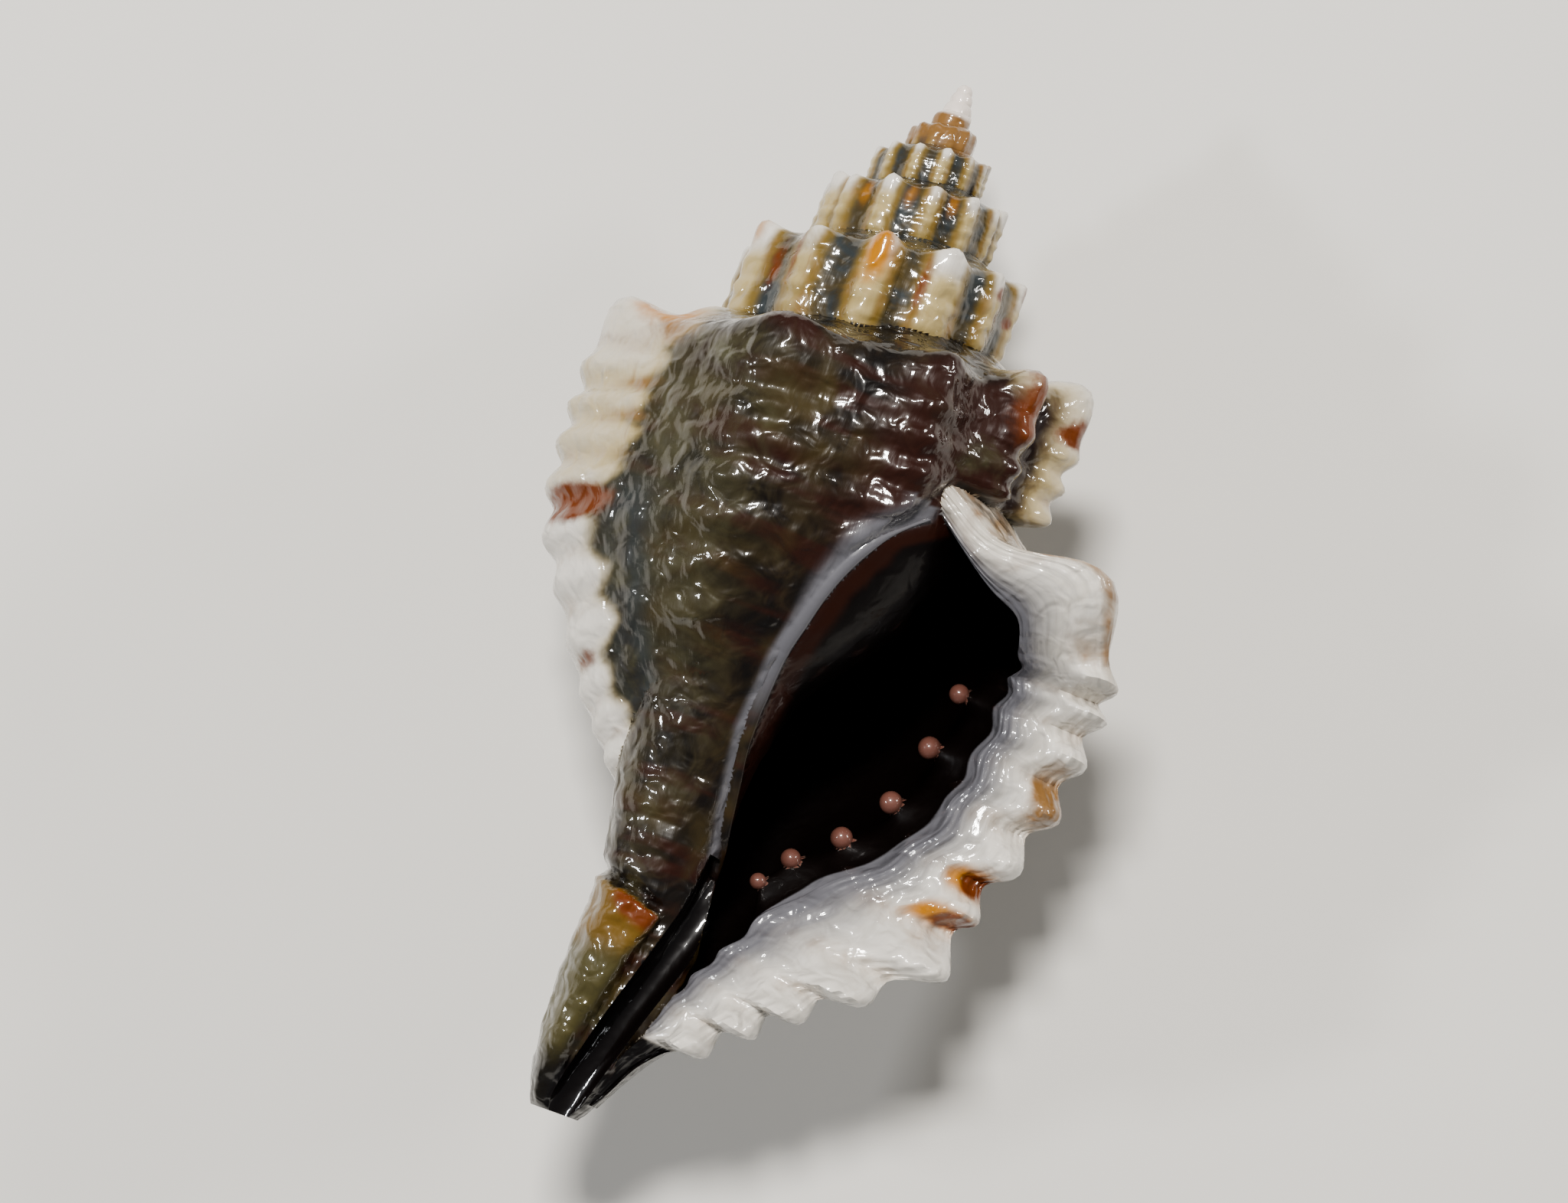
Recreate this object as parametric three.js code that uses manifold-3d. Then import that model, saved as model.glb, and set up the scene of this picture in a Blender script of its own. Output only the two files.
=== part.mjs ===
// A murex shell, 30 mm long: a dextral coil with ribs, cords, two varices, a toothed
// mouth and an open siphonal canal. It grew as one piece, so it is one closed solid.
// Millimetres. The shell is built standing on its canal with the apex at the origin, then
// laid down on its back as it lies on a table, mouth up and apex towards +Y.
import * as THREE from 'three';
import { mergeVertices } from 'three/addons/utils/BufferGeometryUtils.js';
import Module from 'manifold-3d';

const wasm = await Module();
wasm.setup();

// ---- Driving dimensions ------------------------------------------------------------
const GROWTH = 1.56;             // how much larger everything is one whorl later
const FIRST_PHASE = -13;         // phases count half turns back from the lip, which is 0
const HOLLOW_PHASE = -1.0;       // how far back the body whorl is open inside
const RIB_PITCH = 1 / 6;         // twelve ribs to a whorl on the spire
const RIB_OFFSET = -0.11;
const RIB_WIDTH = 0.045;
const RIB_HEIGHT = 1.1;
const CORD_HEIGHT = 0.22;
const LIP_DROP = 0.85;           // the last of the whorl slips this far down the spire
const AXIS_GAP = 0.05;           // the swept section stops this far from the axis
const CORE_SLOPE = 0.014;        // the cone that fills the axis widens by this
const LIP_FLARE = 0.85;          // the lower lip stands out this much more
const BURIED = 0.96;             // a stretch of whorl starts this much smaller, inside the last
const LIP_BULGE = 0.75;          // how far the rounded lip stands in front of its plane
const DEEP_INSET = 0.75;         // how far the hollow lies inside the curve, deep inside
const TOOTH_RIDGE = 0.7;         // the swelling that carries the teeth
const REST_TILT = -6.1;            // turn about X that brings the shell to rest
const REST_ROLL = 1.1;            // turn about Y that brings the shell to rest

// Generating curve at the lip: distance from the apex along the axis, and radius.
const WHORL_OUTLINE = [
  [10.6, 4.2], [11.2, 5.4], [11.8, 6.5], [12.4, 7.3], [13.2, 7.6], [16.0, 7.65],
  [17.7, 7.5], [19.4, 7.15], [21.3, 6.3], [22.8, 5.5], [24.1, 4.6], [25.4, 3.4],
  [26.7, 2.4], [27.7, 1.7], [29.6, 1.0],
];
// Spiral cords run along the whorl at these distances from the apex.
const CORDS = [12.5, 14.0, 15.3, 16.5, 17.9, 19.4, 20.9, 22.5, 24.0, 25.4, 26.7];
// Ribs of the last whorl: phase, height, half width.
const BODY_RIBS = [
  [0, 1.15, 0.07], [-0.32, 1.2, 0.06], [-0.66, 1.3, 0.06], [-1.0, 0.95, 0.075],
  [-1.37, 0.45, 0.06], [-1.62, 0.5, 0.05], [-1.78, 0.95, 0.045],
  [-1.94, 1.6, 0.05],
];
// Older varices on the spire: phase and height.
const SPIRE_VARICES = [[-3.11, 1.3], [-3.61, 1.5], [-5.11, 1.8], [-5.94, 2.3], [-7.94, 1.7]];
// How far the mouth's edge lies inside the generating curve, by distance from the apex.
const LIP_INSET = [
  [10.6, 0.4], [12.4, 0.6], [14.5, 0.9], [18.7, 1.0], [20.4, 1.2], [21.6, 1.9],
  [22.7, 2.8], [24.1, 2.5], [25.4, 1.8], [26.7, 1.1], [27.7, 0.6], [29.6, 0.3],
];
// The column and canal: distance from the apex, centre to the right, centre to the front,
// half width, half depth.
const NECK = [
  [14.5, -0.3, 0.4, 2.6, 3.0], [16.5, -0.6, 0.6, 2.4, 2.9], [18.5, -0.85, 0.6, 2.0, 2.3],
  [20.3, -0.9, 0.4, 1.75, 1.95], [22.0, -0.75, 0.25, 1.6, 1.75], [23.7, -0.5, 0.05, 1.5, 1.65],
  [25.5, -0.4, -0.25, 1.65, 1.55],
  [27.5, -0.55, -0.65, 1.5, 1.35], [28.8, -0.8, -1.0, 1.15, 1.1], [29.6, -0.9, -1.25, 0.95, 0.9],
  [30.0, -0.95, -1.4, 0.6, 0.6],
];
// The open gutter of the canal: distance from the apex, centre to the right and front, radius.
const GUTTER = [
  [22.3, 1.5, 0.4, 0.9], [23.6, 1.05, 0.75, 0.6], [25.2, 0.5, 0.6, 0.5], [27.2, -0.15, 0.25, 0.48],
  [28.8, -0.6, -0.25, 0.46], [30.4, -1.0, -0.75, 0.44],
];
const GUTTER_REACH = 2.2;        // the gutter is open this far to the front
// Teeth on the inner wall: distance from the apex and radius.
const TEETH = [[15.9, 0.34], [17.6, 0.36], [19.4, 0.36], [20.8, 0.36], [21.8, 0.32], [22.5, 0.27]];
const TOOTH_PHASE = -0.07;       // the teeth sit this far behind the lip's plane

// ---- Small helpers -------------------------------------------------------------------
function lookUp(table, x, column = 1) {
  if (x <= table[0][0]) return table[0][column];
  for (let i = 1; i < table.length; i++) {
    if (x <= table[i][0]) {
      const share = (x - table[i - 1][0]) / (table[i][0] - table[i - 1][0]);
      return THREE.MathUtils.lerp(table[i - 1][column], table[i][column], share);
    }
  }
  return table[table.length - 1][column];
}

function ease(x, low, high) {
  return THREE.MathUtils.smoothstep(x, low, high);
}

function hump(x, centre, halfWidth) {
  return Math.exp(-(((x - centre) / halfWidth) ** 2));
}

function scaleAt(phase) {
  return GROWTH ** (phase / 2);
}

// ---- Sculpture of the whorl ------------------------------------------------------------
function ribHeight(phase) {
  let height = 0;
  if (phase > -2.03) {
    for (const [centre, tall, halfWidth] of BODY_RIBS) {
      height = Math.max(height, tall * hump(phase, centre, halfWidth));
    }
    return height;
  }
  const centre = RIB_OFFSET + RIB_PITCH * Math.round((phase - RIB_OFFSET) / RIB_PITCH);
  height = RIB_HEIGHT * hump(phase, centre, RIB_WIDTH);
  for (const [varix, tall] of SPIRE_VARICES) {
    height = Math.max(height, tall * hump(phase, varix, RIB_WIDTH * 1.2));
  }
  return height * ease(phase, -11, -9);
}

function cordHeight(station) {
  let height = 0;
  for (const cord of CORDS) height = Math.max(height, hump(station, cord, 0.42));
  return height;
}

function ribAlong(station) {
  const shoulder = 0.1 + 1.2 * ease(station, 10.9, 12.4) - 0.3 * ease(station, 12.6, 14.0);
  return shoulder * (1 - 0.6 * ease(station, 17, 24)) * (1 - ease(station, 25.5, 28.5));
}

// The glazed wall inside the mouth is smooth: 1 on the outside, 0 under the glaze.
function openSculpture(phase, station) {
  const along = station * scaleAt(phase);
  const turn = phase + 2;
  const edge = turn < 0.3 ? 10.9 : 10.9 + (turn - 0.3) * 23;
  if (turn > 0.46 || turn < -1.1) return 1;
  return 1 - ease(along, edge, edge + 0.5);
}

function youngTaper(phase) {
  return 1 - 0.15 * (1 - ease(phase, -12, -8));
}

function lipDrop(phase, station) {
  return LIP_DROP * ease(phase, -0.3, 0) * ease(station, 10.6, 12.2) * (1 - ease(station, 13, 16));
}

// Radius and distance from the apex on the outside, at lip scale.
function outside(phase, station) {
  const step = 0.4;
  const radius = lookUp(WHORL_OUTLINE, station);
  const slope = (lookUp(WHORL_OUTLINE, station + step) - lookUp(WHORL_OUTLINE, station - step)) / (2 * step);
  const rib = ribHeight(phase) * ribAlong(station);
  const cord = CORD_HEIGHT * cordHeight(station) * (0.4 + 1.2 * Math.min(rib, 1));
  const height = (rib + cord) * openSculpture(phase, station);
  const length = Math.hypot(slope, 1);
  const flare = LIP_FLARE * ease(phase, -0.2, 0) * hump(station, 22.6, 1.6);
  return [station + lipDrop(phase, station) - (height * slope) / length, radius + flare + height / length];
}

// The lip's upper end runs forward on to the whorl before it.
function lipAdvance(phase, station) {
  const upper = 0.34 * Math.exp((10.6 - station) / 2.4);
  const lower = 0.16 * ease(station, 21, 27);
  return (upper + lower) * ease(phase, -0.6, 0);
}

function place(phase, station, radius) {
  const scale = scaleAt(Math.min(phase, 0.02));
  const angle = Math.PI * phase;
  const along = station * scale;
  const bend = Math.max(0, along - 22) / 7.6;
  const right = radius * scale * Math.cos(angle) - 1.05 * bend ** 1.6;
  const front = radius * scale * Math.sin(angle) - 1.2 * bend ** 2;
  return new THREE.Vector3(right, -front, -along);
}

// ---- Solids --------------------------------------------------------------------------
function closedSolid(points, triangles) {
  const geometry = new THREE.BufferGeometry();
  geometry.setAttribute('position', new THREE.Float32BufferAttribute(points.flatMap((p) => p.toArray()), 3));
  geometry.setIndex(triangles.flat());
  return fromGeometry(geometry);
}

function fromGeometry(geometry) {
  geometry.deleteAttribute('normal');
  geometry.deleteAttribute('uv');
  const merged = mergeVertices(geometry, 1e-5);
  const index = merged.index.array;
  const kept = [];
  for (let i = 0; i < index.length; i += 3) {
    const [a, b, c] = [index[i], index[i + 1], index[i + 2]];
    if (a !== b && b !== c && a !== c) kept.push(a, b, c);
  }
  const solid = new wasm.Manifold(new wasm.Mesh({
    numProp: 3,
    vertProperties: Float32Array.from(merged.attributes.position.array),
    triVerts: Uint32Array.from(kept),
  }));
  if (solid.volume() > 0) return solid;
  for (let i = 0; i < kept.length; i += 3) [kept[i], kept[i + 1]] = [kept[i + 1], kept[i]];
  return new wasm.Manifold(new wasm.Mesh({
    numProp: 3,
    vertProperties: Float32Array.from(merged.attributes.position.array),
    triVerts: Uint32Array.from(kept),
  }));
}

// Joins rings of equally many points into a closed solid. cap lists the end triangles.
function sweep(rings, cap) {
  const count = rings[0].length;
  const triangles = [];
  for (let i = 0; i + 1 < rings.length; i++) {
    for (let j = 0; j < count; j++) {
      const next = (j + 1) % count;
      const [a, b] = [i * count + j, i * count + next];
      const [c, d] = [a + count, b + count];
      triangles.push([a, b, d], [a, d, c]);
    }
  }
  const last = (rings.length - 1) * count;
  for (const [a, b, c] of cap) triangles.push([c, b, a], [a + last, b + last, c + last]);
  return closedSolid(rings.flat(), triangles);
}

// Stations on the crest of each cord and in the trough after it.
function stationsTo(lowest) {
  const crests = CORDS.filter((cord) => cord <= lowest);
  const troughs = crests.slice(1).map((cord, i) => (cord + crests[i]) / 2);
  return [10.7, 11.5, 12.2, ...crests, ...troughs].sort((a, b) => a - b);
}

function phasesBetween(first, last, step) {
  const count = Math.round((last - first) / step);
  return Array.from({ length: count + 1 }, (_, i) => first + i * step);
}

// A stretch of whorl, solid to the axis. Its first ring is a little small, so that it
// starts inside the stretch before it and no two faces lie on each other.
function solidWhorl(phases, stations) {
  const inner = [[28.6, AXIS_GAP], [9.2, AXIS_GAP], [9.6, 2.4]];
  const rings = phases.map((phase, i) => {
    const taper = youngTaper(phase) * (i === 0 ? BURIED : 1);
    const skin = stations.map((station) => {
      const [along, radius] = outside(phase, station);
      return place(phase + lipAdvance(phase, station), along, radius * taper);
    });
    return [...skin, ...inner.map(([along, radius]) => place(phase, along, radius * taper))];
  });
  const flat = [
    ...stations.map((station) => new THREE.Vector2(lookUp(WHORL_OUTLINE, station), station)),
    ...inner.map(([along, radius]) => new THREE.Vector2(radius, along)),
  ];
  return sweep(rings, THREE.ShapeUtils.triangulateShape(flat, []));
}

// How far the hollow lies inside the generating curve.
function inset(phase, station) {
  const ridge = TOOTH_RIDGE * hump(phase, -0.08, 0.06) * ease(station, 13, 15) * (1 - ease(station, 22, 24));
  return THREE.MathUtils.lerp(DEEP_INSET, lookUp(LIP_INSET, station), ease(phase, -0.35, -0.08)) + ridge;
}

// The inner face of the hollow wall, at lip scale.
function inside(phase, station) {
  const deep = inset(phase, station);
  const along = station + lipDrop(phase, station) + deep * (1 - ease(station, 12, 15));
  return [along, Math.max(lookUp(WHORL_OUTLINE, station) - deep, 0.3)];
}

// One ring of the hollow wall: down the outside, up the inside. The roll closes the lip.
function wallRing(phase, stations, shrink, roll) {
  const [outer, inner] = [[], []];
  for (const station of stations) {
    const [along, radius] = outside(phase, station);
    const [innerAlong, innerRadius] = inside(phase, station);
    const middle = [(along + innerAlong) / 2, (radius + innerRadius) / 2];
    const reach = phase + lipAdvance(phase, station);
    const ahead = (LIP_BULGE * Math.sin(roll)) / (Math.PI * Math.max(radius, 2));
    const mix = (value, centre) => centre + (value - centre) * shrink;
    outer.push(place(reach + ahead, mix(along, middle[0]), mix(radius, middle[1])));
    inner.push(place(reach + ahead, mix(innerAlong, middle[0]), mix(innerRadius, middle[1])));
  }
  return [...outer, ...inner.reverse()];
}

function hollowWhorl(phases, stations) {
  const rings = phases.map((phase, i) => wallRing(phase, stations, i === 0 ? BURIED - 0.1 : 1, 0));
  for (const degrees of [30, 60, 90]) {
    const roll = THREE.MathUtils.degToRad(degrees);
    rings.push(wallRing(0, stations, Math.cos(roll), roll));
  }
  const count = stations.length;
  const cap = [];
  for (let i = 0; i + 1 < count; i++) {
    const [a, b] = [i, i + 1];
    const [c, d] = [2 * count - 1 - a, 2 * count - 1 - b];
    cap.push([a, b, d], [a, d, c]);
  }
  return sweep(rings, cap);
}

function ellipseRing(along, right, front, halfWidth, halfDepth, sides) {
  return Array.from({ length: sides }, (_, i) => {
    const angle = (2 * Math.PI * i) / sides;
    return new THREE.Vector3(right + halfWidth * Math.cos(angle), -(front + halfDepth * Math.sin(angle)), -along);
  });
}

function fanCap(count) {
  return Array.from({ length: count - 2 }, (_, i) => [0, i + 1, i + 2]);
}

function neckSolid() {
  const sides = 16;
  return sweep(NECK.map((row) => ellipseRing(...row, sides)), fanCap(sides));
}

// A rounded slot: a round bottom with straight sides open to the front.
function gutterTool() {
  const rings = GUTTER.map(([along, right, front, radius]) => {
    const bottom = [180, 216, 252, 288, 324, 360].map((degrees) => {
      const angle = THREE.MathUtils.degToRad(degrees);
      return new THREE.Vector3(right + radius * Math.cos(angle), -(front + radius * Math.sin(angle)), -along);
    });
    return [
      new THREE.Vector3(right - radius * 1.1, -(front + GUTTER_REACH), -along),
      ...bottom,
      new THREE.Vector3(right + radius * 1.1, -(front + GUTTER_REACH), -along),
    ];
  });
  return sweep(rings, fanCap(rings[0].length));
}

function axisCore() {
  const [top, bottom] = [0.35, 27];
  const outline = [[0, -bottom], [CORE_SLOPE * bottom, -bottom], [CORE_SLOPE * top, -top], [0, -top]];
  return fromGeometry(new THREE.LatheGeometry(outline.map(([x, y]) => new THREE.Vector2(x, y)), 8)
    .rotateX(Math.PI / 2));
}

function ball(radius, centre) {
  return fromGeometry(new THREE.IcosahedronGeometry(radius, 1).translate(...centre.toArray()));
}

// Joined solids leave a few flat scraps of no volume behind; the shell is the largest body.
function largestBody(solid) {
  return solid.decompose().reduce((best, body) => (body.volume() > best.volume() ? body : best));
}

function buildShell() {
  const early = stationsTo(16.6).concat([17.9, 20.9, 24.5, 28]);
  const full = stationsTo(27).concat([27.7, 29.4]);
  const fine = RIB_PITCH / 4;
  const solids = [axisCore(), ball(0.37, new THREE.Vector3(0, 0, -0.4))];
  const stretch = (first, last, step, stations) => solidWhorl(phasesBetween(first - step, last, step), stations);
  for (let first = FIRST_PHASE; first < -8; first += 1.25) {
    solids.push(stretch(first, first + 1.25, RIB_PITCH / 2, early));
  }
  for (let first = -8; first < -2; first += 1.5) {
    solids.push(stretch(first, first + 1.5, RIB_PITCH / 3, early));
  }
  solids.push(stretch(-2, HOLLOW_PHASE, fine, full));
  const open = RIB_PITCH / 3;
  solids.push(hollowWhorl(phasesBetween(HOLLOW_PHASE - open, 0, open), full));
  solids.push(neckSolid());
  let shell = solids.reduce((whole, solid) => whole.add(solid));
  shell = shell.subtract(gutterTool());
  for (const [station, radius] of TEETH) {
    shell = shell.add(ball(radius, place(TOOTH_PHASE, ...inside(TOOTH_PHASE, station))));
  }
  return largestBody(shell);
}

function toGeometry(solid) {
  const mesh = solid.getMesh();
  const geometry = new THREE.BufferGeometry();
  geometry.setAttribute('position', new THREE.BufferAttribute(Float32Array.from(mesh.vertProperties), 3));
  geometry.setIndex(new THREE.BufferAttribute(Uint32Array.from(mesh.triVerts), 1));
  return geometry;
}

// ---- Pose and scene ----------------------------------------------------------------------
function layDown(geometry) {
  geometry.rotateX(-Math.PI / 2);
  geometry.rotateX(THREE.MathUtils.degToRad(REST_TILT));
  geometry.rotateY(THREE.MathUtils.degToRad(REST_ROLL));
  geometry.computeBoundingBox();
  const { min, max } = geometry.boundingBox;
  geometry.translate(-(min.x + max.x) / 2, -(min.y + max.y) / 2, -min.z);
  return geometry;
}

const shellMaterial = new THREE.MeshStandardMaterial({ color: 0x8a7a68, roughness: 0.25, metalness: 0 });
const shell = new THREE.Mesh(layDown(toGeometry(buildShell())), shellMaterial);
shell.name = 'shell';

const group = new THREE.Group();
group.add(shell);
export default group;
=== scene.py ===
"""A murex shell lying mouth up, laid out as a Blender add-on.

The shell is one coil: a generating curve that turns round the axis and grows by the same
share each whorl. Phases count half turns back from the lip, which is 0, and stations are
distances from the apex along the axis, in millimetres at the size of the lip.
"""
import math

import bmesh
import bpy
import numpy as np
from mathutils import Matrix, Vector
from mathutils.bvhtree import BVHTree


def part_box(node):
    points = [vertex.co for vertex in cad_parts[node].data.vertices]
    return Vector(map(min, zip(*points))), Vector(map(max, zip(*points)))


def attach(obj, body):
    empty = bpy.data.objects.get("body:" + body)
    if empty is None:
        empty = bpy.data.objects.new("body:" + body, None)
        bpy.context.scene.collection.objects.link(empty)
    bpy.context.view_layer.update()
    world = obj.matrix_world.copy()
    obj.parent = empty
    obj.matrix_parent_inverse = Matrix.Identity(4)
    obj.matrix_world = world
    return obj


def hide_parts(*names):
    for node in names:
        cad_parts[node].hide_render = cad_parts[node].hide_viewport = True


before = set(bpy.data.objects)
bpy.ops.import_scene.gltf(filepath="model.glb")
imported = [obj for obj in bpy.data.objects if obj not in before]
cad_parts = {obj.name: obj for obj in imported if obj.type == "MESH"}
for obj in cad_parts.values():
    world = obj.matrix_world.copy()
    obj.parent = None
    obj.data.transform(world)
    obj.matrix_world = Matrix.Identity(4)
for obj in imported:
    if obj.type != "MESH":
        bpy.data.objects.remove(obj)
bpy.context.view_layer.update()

bl_info = {
    "name": "Murex shell",
    "version": (1, 0, 0),
    "blender": (4, 5, 0),
    "location": "3D View > Sidebar > Shell",
    "description": "Builds a wet murex shell, lying mouth up, and its studio",
    "category": "Mesh",
}

MM = 0.001

# ---- Shape of the coil, in millimetres ---------------------------------------------------
FIRST_PHASE = -13.0              # the coil starts here, six and a half turns back
HOLLOW_PHASE = -1.0              # the last half turn is open inside
WHORL_RADIUS = 7.6               # widest radius at the lip
WHORL_STATIONS = (10.7, 29.4)    # the generating curve's ends on the last whorl
SPIRE_STATIONS = (10.7, 17.2)    # the part of it that shows on the spire
HIDDEN_STATIONS = (17.7, 28)     # and the part that the next whorl covers
RIB_PITCH = 1 / 6                # twelve ribs to a whorl on the spire
RIB_OFFSET = -0.11
RIB_WIDTH = 0.045
LAST_WHORL_START = -2.03         # nearer the lip than this the whorl has the body's ribs
LAST_RAMP_START = -2.06          # and from here it has the body's dark glaze
SPIRE_STAGGER = 0.5              # ribs of the younger whorls stand between those of the next
LIP_DROP = 0.85                  # the last of the whorl slips this far down the spire
AXIS_GAP = 0.05                  # the swept section stops this far from the axis
BURIED = 0.96                    # a stretch starts this much smaller, inside the last one
LIP_SCALLOP = 0.52               # how far the cords stand out at the lip
LIP_FOLD = 1.1                   # depth of the folds across the face of the lip
LIP_BULGE = 0.75                 # how far the rounded lip stands in front of its plane
DEEP_INSET = 0.75                # thickness of the wall, deep inside
TOOTH_RIDGE = 0.7                # the swelling that carries the teeth
RELIEF_DEPTH = 0.07              # depth of the finest relief, which only the material shows
GUTTER_REACH = 2.2               # the canal is open this far to the front
REST_TILT = math.radians(-6.1)   # turn about X that lays the shell at rest
REST_ROLL = math.radians(1.1)    # turn about Y that lays the shell at rest
# The apex lies this far from the middle of the box, from its far side and from its floor.
APEX_FROM_BOX = (-1.016, 0.030, 5.629)

# Generating curve at the lip: station and radius.
WHORL_OUTLINE = [
    (10.6, 4.2), (11.2, 5.4), (11.8, 6.5), (12.4, 7.3), (13.2, 7.6), (16.0, 7.65),
    (17.7, 7.5), (19.4, 7.15), (21.3, 6.3), (22.8, 5.5), (24.1, 4.6), (25.4, 3.4),
    (26.7, 2.4), (27.7, 1.7), (29.6, 1.0),
]
# Spiral cords: station and half width.
CORDS = [
    (12.5, 0.45), (14.0, 0.45), (15.3, 0.42), (16.5, 0.42), (17.9, 0.45), (19.4, 0.48),
    (20.9, 0.48), (22.5, 0.5), (23.9, 0.36), (24.85, 0.32), (25.7, 0.32), (26.7, 0.36),
]
# Ribs of the last whorl: phase, height, half width.
BODY_RIBS = [
    (0, 1.15, 0.07), (-0.32, 1.2, 0.06), (-0.66, 1.3, 0.06), (-1.03, 1.0, 0.09),
    (-1.37, 0.45, 0.06), (-1.62, 0.5, 0.05), (-1.78, 0.95, 0.045), (-1.94, 1.6, 0.05),
]
# Knobs and pillows of the last whorl: phase, station, half widths, height.
KNOBS = [
    (-1.02, 11.7, 0.05, 0.55, 0.55), (-1.13, 11.5, 0.04, 0.5, 0.5), (-1.3, 13.2, 0.09, 0.8, 0.32),
    (-1.43, 13.4, 0.035, 0.6, 0.2), (-1.6, 14.2, 0.05, 1.0, 0.22), (-1.72, 15.4, 0.05, 1.2, 0.2),
    (0.0, 14.2, 0.09, 1.1, 0.22), (0.0, 22.6, 0.06, 0.9, 0.15),
]
# Later stretches of the spire: first and last phase, step between rings, stations across.
LATE_SPIRE = [
    (-8, -6.5, 0.026, 34), (-6.5, -5, 0.02, 40), (-5, -3.5, 0.014, 48), (-3.5, -2, 0.0115, 56),
]
# Older varices on the spire: phase, and height as a share of a rib's.
SPIRE_VARICES = [
    (-3.11, 1.3), (-3.61, 1.25), (-4.11, 1.25), (-5.11, 1.35), (-5.97, 1.6), (-7.94, 1.4),
]
# How far the mouth's edge lies inside the generating curve, by station.
LIP_INSET = [
    (10.6, 0.4), (12.4, 0.6), (14.5, 0.9), (18.7, 1.0), (20.4, 1.2), (21.6, 1.9),
    (22.7, 2.8), (24.1, 2.5), (25.4, 1.8), (26.7, 1.1), (27.7, 0.6), (29.6, 0.3),
]
# The column and canal: along the axis, right, front, half width, half depth.
NECK = [
    (14.5, -0.3, 0.4, 2.6, 3.0), (16.5, -0.6, 0.6, 2.4, 2.9), (18.5, -0.85, 0.6, 2.0, 2.3),
    (20.3, -0.9, 0.4, 1.75, 1.95), (22.0, -0.75, 0.25, 1.6, 1.75), (23.7, -0.5, 0.05, 1.5, 1.65),
    (25.5, -0.4, -0.25, 1.65, 1.55), (27.5, -0.55, -0.65, 1.5, 1.35),
    (28.8, -0.8, -1.0, 1.15, 1.1), (29.6, -0.9, -1.25, 0.95, 0.9), (30.0, -0.95, -1.4, 0.6, 0.6),
]
# The open gutter of the canal: along the axis, right, front, radius.
GUTTER = [
    (22.3, 1.5, 0.4, 0.9), (23.6, 1.05, 0.75, 0.6), (25.2, 0.5, 0.6, 0.5),
    (27.2, -0.15, 0.25, 0.48), (28.8, -0.6, -0.25, 0.46), (30.4, -1.0, -0.75, 0.44),
]
# Teeth on the inner wall: station and radius.
TEETH = [(15.9, 0.28), (17.6, 0.32), (19.4, 0.32), (20.8, 0.31), (21.8, 0.28), (22.6, 0.23)]
TOOTH_PHASE = -0.065
TOOTH_STAND = 0.1                # a tooth's middle stands this far off the wall
# The swollen first turns at the apex: along the axis and radius.
PROTOCONCH = [(0.25, 0.23), (0.5, 0.31), (0.85, 0.4)]
# Edge of the glaze on the column: along the axis, right.
CALLUS_LINE = [
    (12.4, 2.9), (13.3, 1.75), (14.9, 0.95), (16.9, 0.42), (19.0, 0.28), (21.1, 0.55),
    (23.5, 1.0),
]
# Right-hand edge of the old canal end on the column: along the axis, right.
OLD_CANAL_LINE = [(23.4, -0.2), (24.2, 0.0), (25.6, -0.45), (27.3, -0.9), (29.4, -1.3)]
OLD_CANAL_START = 23.7
OLD_CANAL_STEP = 0.3


# ---- Studio, in metres and watts ---------------------------------------------------------
CAMERA_HEIGHT = 0.118            # above the middle of the shell
CAMERA_LENS = 100                # in millimetres, as the sensor's width
SENSOR_WIDTH = 36
CAMERA_LEAN = math.radians(20)   # the shell leans this far across the picture
CAMERA_TIP = math.radians(2)
CAMERA_AIM = (0.1, 0.0, 15.1)    # right, front and along the axis, in millimetres
SKY_TINT = "#dfe3e8"
SKY_STRENGTH = 0.2
# Name, place, width, watts and tint of each light.
LIGHTS = [
    ("Key", (-0.06, 0.10, 0.28), 0.06, 1.15, (1, 0.98, 0.95)),
    ("Fill", (-0.24, -0.06, 0.18), 0.035, 0.3, (0.95, 0.97, 1)),
    ("Rim", (0.20, 0.16, 0.14), 0.05, 0.25, (1, 0.97, 0.93)),
]


# ---- Sizes and colours that can be changed ----------------------------------------------
def linear(text):
    """An sRGB hex colour as linear red, green and blue."""
    parts = [int(text[i:i + 2], 16) / 255 for i in (1, 3, 5)]
    return tuple(c / 12.92 if c <= 0.04045 else ((c + 0.055) / 1.055) ** 2.4 for c in parts)


def colour(name, description, text):
    return bpy.props.FloatVectorProperty(
        name=name, description=description, subtype="COLOR", size=3, min=0, max=1,
        default=linear(text))


def length(name, description, millimetres):
    return bpy.props.FloatProperty(
        name=name, description=description, default=millimetres * MM, min=0,
        subtype="DISTANCE", unit="LENGTH", precision=5)


class ShellSizes(bpy.types.PropertyGroup):
    growth: bpy.props.FloatProperty(
        name="Growth", description="How much larger everything is one whorl later",
        default=1.56, min=1.2, max=2.5)
    rib_height: length("Rib height", "Height of a spire rib at the size of the lip", 0.54)
    cord_height: length("Cord height", "Height of a spiral cord between the ribs", 0.22)
    spine_height: length("Spine height", "How far a rib's shoulder stands up as a spine", 0.32)
    lip_flare: length("Lip flare", "How much more the lower lip stands out", 0.85)
    grain_height: length("Grain height", "Height of the broken growth wrinkles", 0.085)
    callus_width: length("Callus width", "Half width of the glaze ridge on the column", 0.21)


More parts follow.
